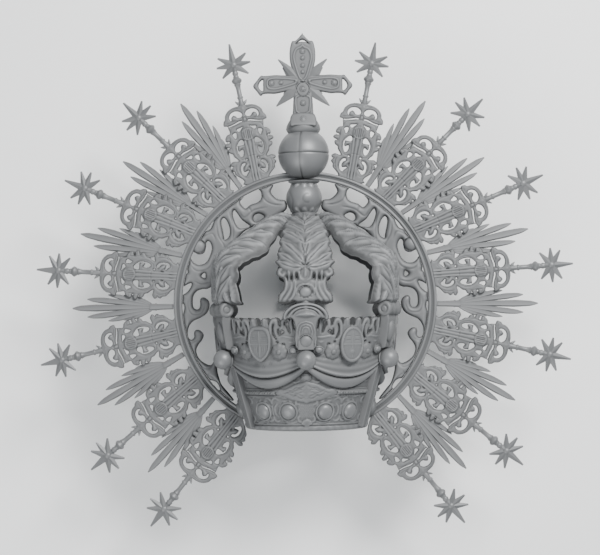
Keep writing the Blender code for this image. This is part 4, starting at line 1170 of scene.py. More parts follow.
def draw_swags(side):
    u, v = side.u, side.y
    upper_edge = 66.5 - 14.8 * sag(u)
    lower_edge = 61.5 - 19.4 * sag(u)
    middle = (upper_edge + lower_edge) / 2 - 0.4
    half = np.maximum((upper_edge - lower_edge) / 2 + 0.6, 1.6)
    roll = 1.2 + 5.2 * np.sqrt(np.clip(1 - ((v - middle) / half) ** 2, 0, 1))
    side.rise = np.where(np.abs(v - middle) < half, np.maximum(side.rise, roll), side.rise)
    share = np.clip((v - upper_edge) / np.maximum(BASKET_TOP - upper_edge, 1), 0, 1)
    cloth = 8.6 - 6.2 * share**0.8 + 0.5 * np.sin(share * 22) * (1 - share)
    hem = np.sqrt(np.clip((v - upper_edge) / 1.5, 0, 1))
    side.rise = np.where(v > upper_edge, cloth * hem + (1 - hem) * 3.2, side.rise)
    for centre in ((30, 66), (22.5, 68.5), (14, 71), (36.6, 62.5)):
        ways = [petal * 1.257 for petal in range(5)]
        tips = [(centre[0] + 2.6 * math.sin(way), centre[1] + 2.2 * math.cos(way)) for way in ways]
        chase(side, [[centre, tip] for tip in tips], 0.5, 0.5)


strap_sixth, leaf_sixth = draw_basket(25.5), draw_basket(18.9)
draw_lozenge(leaf_sixth)
draw_swags(strap_sixth)
draw_swags(leaf_sixth)
print("a sixth of the basket:", leaf_sixth.x.shape)

# %% [markdown]
# The drawn sixths are laid round the cone, so the last column of one is the first of the next. The
# front and the back sixth have the long leaf, and the others a strap. The same columns run down the
# inside, which shows the smooth back of the sheet, and close at the rim.

# %% Raising the basket
WALL, INNER_RINGS = 2.4, 9


def make_basket():
    sixths = [leaf_sixth, strap_sixth, strap_sixth] * 2
    rise = np.hstack([sixth.rise[:, :-1] for sixth in sixths])
    # Painted shade in the recesses of the chasing and a painted highlight on what stands up.
    painted_shading = np.hstack([(blurred(sixth.rise, 10) - sixth.rise)[:, :-1] for sixth in sixths])
    painted_shading = np.clip(painted_shading / 1.1, -1, 1)
    rows, columns = rise.shape[0], rise.shape[1] // 6
    around = 6 * columns
    angles = (np.arange(around) / columns - 0.5) * SIXTH
    heights = RIM_HEIGHT + leaf_sixth.rows * SQUARE
    outer = wall_radius(heights)[:, None] + np.maximum(rise, -1.2)
    inner_heights = np.linspace(heights[-1], heights[0], INNER_RINGS)
    inner = np.repeat((wall_radius(inner_heights) - WALL)[:, None], around, axis=1)
    radii = np.vstack([outer, inner])
    height = np.concatenate([heights, inner_heights])[:, None] + 0 * radii
    x, z = radii * np.sin(angles), radii * np.cos(angles)
    points = np.column_stack([x.ravel(), height.ravel(), z.ravel()])
    index = np.arange((rows + INNER_RINGS) * around).reshape(-1, around)
    above = np.roll(index, -1, axis=0)
    faces = np.stack([index, np.roll(index, -1, axis=1), np.roll(above, -1, axis=1), above], axis=-1)
    # The inside of the basket gets an even painted shade.
    shade = np.vstack([painted_shading, np.full(inner.shape, 0.25)])
    mesh = mesh_from("basket", points, faces.reshape(-1, 4).tolist(), shade.ravel(), crisp=50)
    piece = finish_piece("chased_basket", mesh, FROSTED, "crown_basket")
    print("basket faces:", len(piece.data.polygons))


make_basket()

# %% [markdown]
# The cresting stands on the basket. Each sixth of it has a shield in its middle, between loops of
# round strip, and the loops leave openings. The shields bear only plain divisions and hatching.

# %% Drawing the cresting
CREST_FOOT_RADIUS, CREST_HEIGHT, CREST_RADIUS = 104, 41, 113
CREST_SQUARES = 87
HALF_CREST = CREST_SQUARES * SIXTH / 2
CREST_BASE = 2.0


def cut_cresting():
    crest = Relief((-HALF_CREST, -1), (HALF_CREST, 36), 0.82)
    plate(crest, [(-3, 25), (2.4, 25.4), (3, 30.6), (6, 33.2), (9.4, 31), (10.4, 26.6), (11.6, 30.6),
                  (15, 33.4), (19.2, 31.6), (20.6, 26.6), (21.8, 26), (22.4, 30.6), (25.6, 33.4), (30, 33),
                  (31.4, 30), (33, 33), (36, 33.4), (39, 33.6), (48, 33.6), (48, -3), (-3, -3)])
    openings(crest, [
        [(15.2, 27), (14.4, 24.6), (14.2, 20.4), (15.4, 16.4), (16.8, 13.4), (15.4, 13.4), (13.2, 17.4),
         (12.9, 22), (13.8, 26.4)],
        [(19.4, 22.8), (24.6, 19.8), (20, 16.8), (18.6, 17.8)],
        [(26.8, 30), (28.7, 29.8), (29.2, 25.4), (30.8, 19.4), (29.4, 19.6), (27.4, 24.6), (25.8, 26.8)],
        [(34.2, 33), (35.2, 33), (35.4, 28), (36, 23.4), (34.8, 23.4), (33.8, 28)],
        [(16.6, 10.8), (18, 10.8), (18, 9.6), (16.6, 9.6)],
        [(22.4, 8.6), (24.4, 8.6), (24.4, 7.2), (22.6, 7.2)],
    ])
    swell(crest, 1.9, 1.9)
    strokes(crest, [
        ([(12, 12), (11.4, 20), (12.4, 27), (15.4, 31), (18.2, 28.6), (18, 24)],
         [1.2, 1.6, 1.7, 1.8, 1.6, 1.2]),
        ([(21, 22), (23.6, 25), (24.4, 30), (28, 31.4)], [1.2, 1.6, 1.7, 1.2]),
        ([(31.8, 18), (32.4, 25), (32, 31)], [1.2, 1.5, 1.2]),
        ([(17, 14.6), (24, 15.4), (31, 14.4), (38, 15)], [0.8, 1.2, 1.2, 0.8]),
        ([(26, 11.6), (31, 10), (36, 11.4)], [0.7, 1.3, 0.7]),
        ([(6, 26), (6, 31)], [1.6, 2.0]),
        ([(29, 3), (33, 6), (32.6, 10)], [0.8, 1.4, 0.8]),
    ], 2.3, lift=0.4)
    return crest


def crest_radius(height):
    share = (height - CREST_FOOT_HEIGHT) / CREST_HEIGHT
    return CREST_FOOT_RADIUS + share * (CREST_RADIUS - CREST_FOOT_RADIUS)


def crest_place(x, y, z):
    heights = CREST_FOOT_HEIGHT + y * SQUARE
    return around_place(crest_radius(heights) - 2.4 + z, heights, x / CREST_SQUARES)


def make_cresting():
    drawing = cut_cresting()
    inside = np.minimum(drawing.inside, HALF_CREST - 0.1 - np.abs(drawing.x))
    inside = np.minimum(inside, drawing.y + 0.4)
    pattern = cast("cresting", drawing, CREST_BASE, crest_place, inside=inside, flat_back=False)
    for index in range(6):
        turn = Matrix.Rotation(math.radians(30 + 60 * index), 4, "Y")
        finish_piece(f"cresting_{index + 1}", pattern.copy(), FROSTED, "crown_basket", turn=turn)
    print("cresting faces in a sixth:", len(pattern.polygons))


make_cresting()

# %% [markdown]
# Stones, straps, shields and rosettes are made apart and set on the basket. Each needs a place on the
# cone: a spot, the direction that faces outwards there, and the direction up the slope.

# %% Places on the basket
WALL_SLOPE = math.atan((KNOB_LEVEL_RADIUS - RIM_RADIUS) / (KNOB_HEIGHT - RIM_HEIGHT))
CREST_SLOPE = math.atan((CREST_RADIUS - CREST_FOOT_RADIUS) / CREST_HEIGHT)
UPRIGHT = Matrix.Rotation(math.radians(90), 4, "X")


def on_cone(angle, height, radius, slope):
    """A frame with x along the rim, y up the slope and z outwards."""
    way = math.radians(angle)
    radial = Vector((math.sin(way), 0, math.cos(way)))
    side = Vector((math.cos(way), 0, -math.sin(way)))
    up = radial * math.sin(slope) + Vector((0, math.cos(slope), 0))
    out = radial * math.cos(slope) - Vector((0, math.sin(slope), 0))
    place = radial * radius + Vector((0, height, 0))
    return Matrix(((side.x, up.x, out.x, place.x), (side.y, up.y, out.y, place.y),
                   (side.z, up.z, out.z, place.z), (0, 0, 0, 1)))


def moved(mesh, place):
    """A copy of a mesh at another place."""
    copy = mesh.copy()
    copy.transform(place)
    return copy


def cabochon(name, size, rise):
    """A domed stone in a rubbed-over rim, round or oval, on z = 0."""
    profile = [(0.01, -0.3), (1.28, -0.3), (1.32, 0.12), (1.27, 0.3), (1.16, 0.36), (1.05, 0.3),
               (1.0, 0.18), (0.96, 0.42), (0.82, 0.72), (0.6, 0.9), (0.3, 1.0), (0.01, 1.03)]
    mesh = turned(name, profile, 28)
    mesh.transform(Matrix.Diagonal((size[0], size[1], rise, 1)) @ UPRIGHT)
    return set_outward(mesh)


print("wall slope", round(math.degrees(WALL_SLOPE), 1), "degrees")


# %% Stones of the headband
GEM_HEIGHT = -131


def make_stones():
    stone = cabochon("stone", (9.2, 9.6), 6.0)
    small = cabochon("small_stone", (5.0, 3.9), 3.4)
    small_height = CREST_FOOT_HEIGHT + 3
    stones = []
    for sector in range(6):
        for side in (-1, 1):
            angle = 60 * sector + side * (15.5 if sector in (0, 3) else 20.9)
            seat = on_cone(angle, GEM_HEIGHT, wall_radius(GEM_HEIGHT) + 0.3, WALL_SLOPE)
            stones.append(moved(stone, seat))
            angle = 60 * sector + side * 7.8
            seat = on_cone(angle, small_height, crest_radius(small_height) + 4.6, CREST_SLOPE)
            stones.append(moved(small, seat))
    piece = finish_piece("headband_stones", joined("stones", stones), BURNISHED, "crown_basket")
    print("stones:", len(stones), "faces:", len(piece.data.polygons))


make_stones()

# %% [markdown]
# The moulding above the stones is a row of beads. One small bead is set on each point of a ring by
# **Instance on Points**, and every second one is stretched into a reel.

# %% The row of beads
BEAD_COUNT, BEAD_SIZE = 144, 2.0


def bead_tree():
    tree, entry, leave = new_tree(
        "beads", [("Bead", "NodeSocketFloat", 1.7), ("Rows", "NodeSocketInt", 6)]
    )
    bead = add_node(tree, "GeometryNodeMeshUVSphere", {
        "Segments": 8, "Rings": entry["Rows"], "Radius": entry["Bead"]})
    size = vector(tree, X=named(tree, "stretch"), Y=1, Z=1)
    beads = set_on_points(tree, entry, bead.outputs["Mesh"], vector(tree, Y=named(tree, "turn")), size)
    return end_tree(tree, beads, FROSTED, leave)


def make_beads():
    height = RIM_HEIGHT + GIRDLE * SQUARE
    radius = wall_radius(height) + 2.2
    points, turns, stretch = [], [], []
    for step in range(BEAD_COUNT):
        angle = 2 * math.pi * step / BEAD_COUNT
        away = abs((step + 12) % 24 - 12)
        hidden = 10 if step // 12 in (0, 5, 6, 11) else 2
        if away > hidden:
            points.append((radius * math.sin(angle), height, radius * math.cos(angle)))
            turns.append(angle)
            stretch.append(1.25 if step % 2 else 0.7)
    ring = line_mesh("bead_spots", points, [], turn=turns, stretch=stretch)
    mesh = grown("beads", bead_tree(), ring, {"Bead": BEAD_SIZE, "Rows": 6})
    mesh.polygons.foreach_set("use_smooth", [True] * len(mesh.polygons))
    finish_piece("bead_moulding", mesh, FROSTED, "crown_basket")
    print("beads:", len(points))


make_beads()

# %% [markdown]
# Four straps run down the side from the knobs, each a rib with a sunk face. Like the consoles, they
# are lofted: one section is placed at each height and the sections are joined.

# %% Straps
def lofted(name, sections):
    """A closed bar through sections of equal count, each a list of 3-D points."""
    count, last = len(sections[0]), (len(sections) - 1) * len(sections[0])
    faces = ring_quads(len(sections) - 1, count)
    faces += [list(range(count)), list(range(last, last + count))[::-1]]
    return set_outward(mesh_from(name, [p for section in sections for p in section], faces, crisp=30))


STRAP_EDGE, STRAP_FACE = 7.1, 6.2
STRAP_WIDTHS = ((-150.5, 6.2), (-140, 6.3), (-110, 6.6), (-92, 6.9), (-77, 7.1))


def make_straps():
    straps = []
    for angle in (60, 120, 240, 300):
        sections = []
        for height, half in STRAP_WIDTHS:
            place = on_cone(angle, height, wall_radius(height), WALL_SLOPE)
            right = [(half - 2.7, STRAP_FACE), (half - 2.2, STRAP_EDGE), (half - 0.8, STRAP_EDGE),
                     (half, STRAP_FACE), (half, -2)]
            outline = [(-x, z) for x, z in reversed(right)] + right
            sections.append([tuple(place @ Vector((x, 0, z))) for x, z in outline])
        straps.append(lofted("strap", sections))
    finish_piece("straps", joined("straps", straps), FROSTED, "crown_basket")
    print("straps:", len(straps))


make_straps()

# %% [markdown]
# The shields are quartered by a cross line and hatched, and the oval ones are divided in two. These
# are the plainest divisions there are, so they stand for no family or place.

# %% Shields
SHIELD_BASE = 1.6


def draw_shield(oval):
    shield = Relief((-15, -19), (15, 19), 0.6)
    if oval:
        edge = [(13.2 * math.sin(a), 17.6 * math.cos(a)) for a in np.radians(np.arange(0, 360, 24))]
        inner = [(x * 0.8, y * 0.84) for x, y in edge]
    else:
        edge = [(0, 17), (6, 16.6), (10.4, 13.6), (12.6, 7), (12.6, 0), (11, -7), (7, -13), (0, -17.4)]
        edge += [(-x, y) for x, y in reversed(edge[1:-1])]
        inner = [(x * 0.8, y * 0.82) for x, y in edge]
    plate(shield, edge)
    swell(shield, 2.0, 1.7)
    near, depth = inside_loop(shield, inner)
    field = shield.rise[near]
    field[depth > 0] = 1.0 + 0.05 * np.minimum(depth[depth > 0], 4)
    shield.rise[near] = field
    stroke(shield, [(0, 12), (0, -12)], [0.45, 0.45], 0.7, lift=0.9)
    stroke(shield, [(0, 0), (9.6, 0)], [0.5, 0.5], 0.7, lift=0.9)
    if oval:
        chase(shield, [[(2, 4), (8, 4)], [(2, 8), (8, 8)]], 0.35, 0.5)
        gem(shield, (0, -7), (3.4, 3.4), 0.9, lift=1.0)
    else:
        for column in (2.4, 4.4, 6.4, 8.4):
            upright = [(column, -2), (column, -9.5 + column * 0.4)]
            chase(shield, [upright, [(1.6, column + 0.6), (8.8, column + 0.6)]], 0.32, 0.55)
    return shield


def make_shields():
    patterns = [cast("shield", draw_shield(oval), SHIELD_BASE, flat_place(0)) for oval in (False, True)]
    for index, angle in enumerate((30, 90, 150, 210, 270, 330)):
        height = CREST_FOOT_HEIGHT + (9.5 if index < 3 else 10.5)
        seat = on_cone(angle, height, crest_radius(height) + 2.6, CREST_SLOPE * 0.4)
        pattern = patterns[index < 3]
        finish_piece(f"shield_{index + 1}", moved(pattern, seat), FROSTED, "crown_basket")
    print("shield faces:", len(patterns[0].polygons), len(patterns[1].polygons))


make_shields()


# %% Rosettes
def make_rosettes():
    petals = domed("petals", (10.6, 10.6), 4.6, 48, 6, petals=8, cut=0.1)
    eye = moved(domed("eye", (3.6, 3.6), 3, 16, 4), Matrix.Translation((0, 0, 3.4)))
    flower = joined("flower", [petals, eye])
    height = CREST_FOOT_HEIGHT + 1.5
    flowers = []
    for sector in range(6):
        for side in (-1, 1):
            angle = 30 + 60 * sector + side * 12.6
            flowers.append(moved(flower, on_cone(angle, height, crest_radius(height) + 1.2, CREST_SLOPE)))
    piece = finish_piece("rosettes", joined("rosettes", flowers), FROSTED, "crown_basket")
    print("rosettes:", len(flowers), "faces:", len(piece.data.polygons))


make_rosettes()


# %% Knobs
KNOB_RADIUS, KNOB_END = 11.8, 127.5


def make_knobs():
    middle = KNOB_END - 11.24
    profile = [(0.01, 106.2), (8.2, 106.2), (8.8, 107), (8.4, 108), (6.9, 108.6)]
    for turn in (math.radians(-54 + step * 8.99) for step in range(15)):
        profile.append((KNOB_RADIUS * math.cos(turn), middle + KNOB_RADIUS * math.sin(turn)))
    profile += [(3.6, KNOB_END), (0.01, KNOB_END)]
    knob = turned("knob", profile, 36)
    knob.transform(UPRIGHT)
    knob.transform(Matrix.Translation((0, KNOB_HEIGHT, 0)))
    finish_around("ball_{}", set_outward(knob), BURNISHED, "knob_{}", AROUND)
    print("knobs:", len(AROUND))


make_knobs()

# %% [markdown]
# Six arches rise from the knobs to the small globe. They are cast in leafwork: the front and back
# ones are pierced below, and the side ones are bands of overlapping leaves, whose edges hang down
# towards the top. The two rear side ones are narrower. Each is drawn flat, then bent along the arch:
# straight up first, then over in a rounded quarter.

# %% The arch's line
ARCH_RADIUS, ARCH_FOOT_HEIGHT, ARCH_SHOULDER_HEIGHT, ARCH_TOP_HEIGHT = 126.5, -18.7, 43, 112.5
ARCH_ROUNDNESS, ARCH_END_RADIUS, ARCH_FOOT = 1.7, 16.8, 40


def measure_arch():
    turn = np.linspace(0, math.pi / 2, 200)
    power = 2 / ARCH_ROUNDNESS
    reach, rise = ARCH_RADIUS - ARCH_END_RADIUS, ARCH_TOP_HEIGHT - ARCH_SHOULDER_HEIGHT
    bend = np.column_stack([
        ARCH_END_RADIUS + reach * np.cos(turn).clip(0) ** power,
        ARCH_SHOULDER_HEIGHT + rise * np.sin(turn) ** power,
    ])
    line = np.vstack([[[ARCH_RADIUS, ARCH_FOOT_HEIGHT - ARCH_FOOT]], bend])
    steps = np.linalg.norm(np.diff(line, axis=0), axis=1)
    lengths = np.concatenate([[0], np.cumsum(steps)]) - ARCH_FOOT
    return line, lengths


ARCH_LINE, ARCH_LENGTHS = measure_arch()


def arch_at(length):
    """Radius, height and outward direction for lengths along the arch."""
    def at(where):
        return [np.interp(where, ARCH_LENGTHS, ARCH_LINE[:, column]) for column in (0, 1)]

    (radius, height), before, after = at(length), at(length - 4), at(length + 4)
    dr, dh = after[0] - before[0], after[1] - before[1]
    size = np.hypot(dr, dh)
    return radius, height, dh / size, -dr / size


ARCH_BASE, ARCH_BACK, FOOT_SUNK = 1.8, 3.9, 6.0


def arch_place(droop, hang=0, dip=0, share=1):
    """A placing function that bends a drawing along the arch.

    Its edges droop everywhere and hang further down towards the top. A dip lowers its shoulder, and
    the share makes it narrower.
    """
    def place(x, y, z):
        radius, height, out_r, out_h = arch_at(y * SQUARE)
        sunk = FOOT_SUNK * (1 - np.clip((y - 12) / 5, 0, 1))
        half = np.clip(radius * math.tan(math.radians(30)) / SQUARE, 8, 23)
        edge = droop + hang * np.clip((y - 50) / 50, 0, 1)
        low = dip * np.exp(-(((y - 100) / 28) ** 2))
        off = z - ARCH_BASE - ARCH_BACK - edge * (x / half) ** 2 - sunk - low
        return np.column_stack([x * SQUARE * share, height + out_h * off, radius + out_r * off])

    return place


print("arch length in squares:", round(float(ARCH_LENGTHS[-1]) / SQUARE, 1))


# %% Drawing the front arch
def draw_front_arch():
    arch = Relief((-30, 2), (30, 160), 0.86)
    plate(arch, [(-4, 4), (9.4, 4), (9.8, 14.8), (13.6, 14.4), (19, 13.6), (24.2, 13.8), (26, 16.8),
                 (25, 20.8), (21.6, 25.6), (20.2, 30), (20, 34.6), (21.4, 37), (24.8, 39), (26, 42.3),
                 (24.6, 45.8), (21.6, 48.2), (24.8, 49.8), (26.4, 52.7), (28.2, 57), (25.6, 60.2), (25.8, 64),
                 (23.8, 67.4), (25.6, 71), (24.4, 75.4), (22.4, 79), (24.6, 84), (23.6, 89.6), (21.2, 93),
                 (23, 98.4), (21.8, 104), (19.6, 107), (20.6, 113), (18.6, 119.6), (18.8, 127), (16.4, 133),
                 (15.8, 141), (13, 148), (12, 159), (-4, 159)])
    openings(arch, [
        [(1.9, 49.4), (3.4, 51.2), (5, 49.4), (3.4, 47.7)],
        [(6.9, 39), (8, 41.6), (9.2, 39), (8, 36.6)],
        [(12, 37.6), (13.1, 40), (14.3, 37.6), (13.1, 35.4)],
        [(16.4, 38), (17.3, 39.8), (18.3, 38), (17.3, 36.4)],
    ])
    swell(arch, 4.6, 2.2)
    leaves = [
        [(0.6, 122), (2.6, 134), (5.4, 145), (9, 157)], [(0.8, 106), (5, 116), (10, 126), (15, 140)],
        [(0.8, 90), (6, 98), (12, 106), (19.4, 119)], [(0.8, 74), (7, 81), (14, 89), (21.4, 101)],
        [(0.4, 60), (3, 73), (5.6, 84), (7.4, 95)], [(1.4, 52), (8, 61), (15, 70), (23.4, 84)],
        [(2, 48.6), (9, 52), (17, 58), (26.4, 69)], [(3, 47.4), (11, 47.6), (19, 50.4), (28, 57)],
    ]
    for turn, points in enumerate(leaves):
        leaf(arch, points, 4.4 + 0.8 * min(turn, 3), 4.4, lift=0.9 * (turn % 2))
    stroke(arch, [(0, 108), (0, 122), (0, 134)], [0.6, 2.6, 0.4], 5.2, lift=0.6)
    strokes(arch, [
        ([(20.6, 47.6), (24.4, 45), (24.8, 41.6), (21.6, 40), (19.8, 42.6)], [1.6, 2.2, 2.3, 2.0, 1.3]),
        ([(13, 49.6), (11, 45), (10.6, 40), (11, 34.4)], [1.3, 1.9, 1.7, 1.2]),
        ([(5, 46.8), (6, 43), (5, 38), (1.6, 35.4)], [1.3, 1.9, 1.7, 1.2]),
        ([(16, 48), (15.6, 42), (15.2, 36)], [1.3, 1.7, 1.3]),
        ([(18.6, 37), (18.2, 31), (19.6, 25.6), (23.2, 20.4), (24.4, 16)], [1.4, 2.0, 2.0, 2.6, 1.8]),
        ([(13.4, 35), (13.2, 29), (15.6, 23.4), (20, 17)], [1.2, 1.8, 2.2, 2.4]),
        ([(9.6, 33.6), (9.8, 27), (11.6, 21), (15, 16.6)], [1.1, 1.6, 1.8, 1.4]),
        ([(0, 31.8), (5, 30.6), (8, 27.4), (8.8, 22.6)], [1.2, 1.3, 1.3, 1.0]),
        ([(0, 40), (0, 46)], [1.8, 1.2]),
        ([(0, 92), (0, 120), (0, 157)], [0.9, 1.7, 1.2]),
    ], 3.6, lift=0.4)
    gem(arch, (0, 24.2), (7.0, 6.2), 4.8, collar=0.12)
    eased(arch, 2)
    return arch


front_arch = draw_front_arch()
print("front arch grid:", front_arch.x.shape)


# %% Drawing a side arch
def draw_side_arch():
    arch = Relief((-26, -2), (26, 160), 0.9)
    plate(arch, [(-4, -1), (6, -1), (6.4, 13), (12, 14), (18.6, 13.2), (23, 14.6), (22.8, 19), (20.4, 25),
                 (19.8, 32), (22, 37), (22.6, 43), (21.6, 48), (22, 56), (21.4, 63), (21.8, 71), (20.9, 79),
                 (21, 88), (20, 96), (19.6, 106), (17.8, 113), (17, 123), (14.4, 132), (13, 145), (10, 159),
                 (-4, 159)])
    swell(arch, 5, 2.0)
    for turn, foot in enumerate((126, 109, 92, 75, 58, 41, 24, 10)):
        size = 1 - 0.4 * max(0, foot - 70) / 60
        outer = [(1, foot), (6, foot + 10), (12, foot + 20), (18.6, foot + 31)]
        inner = [(0.5, foot + 6), (2.6, foot + 17), (6, foot + 29), (10.4, foot + 41)]
        for points, width, lift in ((outer, 6.6, 0.9 * (turn % 2)), (inner, 4.2, 1.6)):
            leaf(arch, [(x * size, min(y, 158)) for x, y in points], width * size, 4.6, lift=lift)
    strokes(arch, [
        ([(17.8, 37), (19, 30), (20.4, 22), (21.4, 16)], [1.6, 2.2, 2.4, 2.0]),
        ([(11.6, 32), (12.4, 25), (14.8, 18), (15.4, 15)], [1.4, 2.0, 2.2, 1.6]),
        ([(5, 30), (6, 23), (7.6, 16)], [1.3, 1.9, 1.6]),
    ], 5.4, groove=0.25, lift=0.2)
    eased(arch, 3)
    return arch


side_arch = draw_side_arch()
print("side arch grid:", side_arch.x.shape)

# %% [markdown]
# An arch may be no wider than its sixth of the circle, or it would run into its neighbours where
# they meet below the globe. So its metal is limited by its own radius there.

# %% Bending the arches
def arch_room(relief):
    radius, _, _, _ = arch_at(relief.y * SQUARE)
    room = (radius * math.tan(math.radians(30)) - GAP) / SQUARE - np.abs(relief.x)
    return np.minimum(relief.inside, room)


def make_arches():
    for drawing, form, places in (
        (front_arch, arch_place(6.0), ("front", "back")),
        (side_arch, arch_place(13.0, 17.0, 7.0), ("front_right", "front_left")),
        (side_arch, arch_place(13.0, 17.0, 7.0, share=0.8), ("back_right", "back_left")),
    ):
        room = arch_room(drawing)
        pattern = cast("arch", drawing, ARCH_BASE, form, inside=room, flat_back=False)
        finish_around("leaf_arch_{}", pattern, FROSTED, "arch_{}", places)
        print("arch faces:", len(pattern.polygons))


make_arches()

# %% [markdown]
# Below each side arch stands a console, a box with a sunk, fluted face. Before the front and back
# arches it is a cartouche: a bowed plate with a stone, under a round pediment.

# %% Consoles
def console_sections():
    sections = []
    for height, half, depth in (
        (-56.4, 9.6, 8.6), (-55, 10.4, 10.2), (-50, 10.6, 10.6), (-36, 11.4, 10.6), (-22, 13.6, 10.6),
        (-15, 14.6, 9.6), (-6, 14.6, 4),
    ):
        inner = crest_radius(min(height, CREST_FOOT_HEIGHT + CREST_HEIGHT)) + 0.2
        face = inner + depth
        right = [(half - 3.8, face - 2.2), (half - 2.8, face), (half - 1.2, face), (half, face - 1),
                 (half, inner)]
        sections.append([(x, height, z) for x, z in [(-x, z) for x, z in reversed(right)] + right])
    return sections


def make_consoles():
    profile = [(0.01, 16.4), (2.4, 16.2), (3.2, 15.4), (4.2, 15.0), (5.2, 15.8), (6.6, 16.2), (8.2, 15.8),
               (9.2, 14.6), (9.5, 12.6), (9.3, 9), (8.5, 7.6), (8.3, 4), (8.9, 2), (9.1, 0)]
    profile += [(radius, -across) for radius, across in reversed(profile[:-1])]
    roll = turned("roll", profile, 28)
    roll.transform(Matrix.Translation((0, -8.4, 117.6)) @ Matrix.Rotation(math.radians(90), 4, "Z"))
    seat = on_cone(0, -36, crest_radius(-36) + 8.2, CREST_SLOPE)
    tear = moved(domed("tear", (6.6, 13.5), 5.2, 24, 7), seat)
    whole = joined("console", [lofted("box", console_sections()), set_outward(roll), tear])
    places = ("front_right", "back_right", "back_left", "front_left")
    finish_around("console_{}", whole, FROSTED, "arch_{}", places)
    print("consoles:", len(places), "faces each:", len(whole.polygons))


make_consoles()


# %% The cartouches
def draw_cartouche():
    shape = Relief((-26, 0), (26, 54), 0.66)
    plate(shape, [(-4, 50.6), (6, 50.2), (12, 48.6), (17.6, 45.4), (21.8, 41.4), (23.6, 37), (23.4, 33.6),
                  (20.6, 32.6), (17.8, 35), (14, 34.4), (12, 30.6), (11.4, 24), (12.2, 15), (11.6, 7),
                  (8, 2.6), (-4, 2.4)])
    swell(shape, 2.2, 1.6)
    hood = [(0, 49.2), (7, 48.6), (13.6, 46), (18.6, 41.8), (21.4, 37), (21.2, 34.6)]
    stroke(shape, hood, [1.5, 1.6, 1.7, 1.8, 1.9, 1.4], 3.8)
    under_hood = [(0, 46.2), (6, 45.4), (11.4, 42.8), (15.6, 38.6), (17.4, 35.6)]
    stroke(shape, under_hood, [1.2, 1.3, 1.4, 1.4, 1.0], 2.6)
    panel_field(shape, [(-4, 43.6), (5, 43), (10.4, 40.4), (12.6, 36.4), (8, 34.6), (-4, 34)], 4.4, 4.4)
    chase(shape, [[(0, 47.8), (7, 47), (13, 44.2), (17.6, 39.8), (19.4, 36)]], 0.5, 1.8)
    chase(shape, [[(0, 44.8), (6, 44), (11, 41.2), (14.2, 37)]], 0.5, 1.6)
    for r, high in ((3.6, 2.6), (6.4, 2.8), (9.4, 2.6)):
        arc = [(0, 22 + r), (r * 0.7, 22 + r * 0.72), (r, 22), (r * 1.04, 18 - r * 0.3)]
        stroke(shape, arc, [0.9, 1.0, 1.0, 0.7], high)
    gem(shape, (0, 10.6), (7.8, 7.8), 5.0, collar=0.12, lift=0.6)
    stroke(shape, [(9.8, 12), (9.4, 6), (5, 3.4)], [0.9, 1.2, 0.8], 2.6)
    return shape


CARTOUCHE_SCALE, CARTOUCHE_BEND, CARTOUCHE_BASE = 0.92, 122, 3.0


def cartouche_place(x, y, z):
    height = CREST_FOOT_HEIGHT + 0.8 + y * SQUARE * CARTOUCHE_SCALE
    radius = 118.8 + (np.minimum(height, -10) + 20) * 0.2 + z
    return around_place(radius, height, x * SQUARE * CARTOUCHE_SCALE / CARTOUCHE_BEND)


def make_cartouches():
    pattern = cast("cartouche", draw_cartouche(), CARTOUCHE_BASE, cartouche_place, flat_back=False)
    sections = []
    for height in (-56, -20, -6):
        inner = crest_radius(min(height, -19)) + 0.2
        sections.append([(x, height, z) for x, z in ((-9, inner), (-9, 119), (9, 119), (9, inner))])
    seat = lofted("block", sections)
    for place in ("front", "back"):
        finish_around("cartouche_{}", pattern, FROSTED, "arch_{}", [place])
        finish_around("cartouche_block_{}", seat, FROSTED, "arch_{}", [place])
    print("cartouche faces:", len(pattern.polygons))


make_cartouches()

# %% [markdown]
# The arches meet under a small globe, on whose collar the halo's ring rests. Above the ring sits the
# orb, which is hollow and engraved with two lines: its equator and one meridian.

# %% The globes
GLOBE_HEIGHT, GLOBE_RADIUS = 130.5, 22.5
ORB_HEIGHT, ORB_RADIUS, ORB_LINE = 186, 32, 0.75


def ball(name, radius, steps, rows, relief, low=-math.pi / 2):
    """A sphere about y whose surface a function raises; it takes the points as unit vectors."""
    turns, tilts = np.meshgrid(np.linspace(0, 2 * math.pi, steps, endpoint=False),
                               np.linspace(low, math.pi / 2, rows + 1))
    unit = np.stack([np.cos(tilts) * np.sin(turns), np.sin(tilts), np.cos(tilts) * np.cos(turns)], axis=-1)
    high = relief(unit, turns, tilts)
    points = (unit * (radius + high)[..., None]).reshape(-1, 3)
    faces = ring_quads(rows, steps) + [list(range(steps))[::-1]]
    # Painted shade in what is sunk, such as the engraved lines, and a painted highlight on what stands up.
    mesh = mesh_from(name, points, faces, np.clip(-high * 1.2, -0.4, 1).ravel(), crisp=60)
    return set_outward(mesh, weld=True)


def orb_relief(unit, _turns, _tilts):
    meridian = math.radians(-8.5)
    across = unit[..., 0] * math.cos(meridian) - unit[..., 2] * math.sin(meridian)
    lines = sum(np.exp(-((away * ORB_RADIUS / ORB_LINE) ** 2)) for away in (unit[..., 1], across))
    return -0.9 * np.minimum(lines, 1)


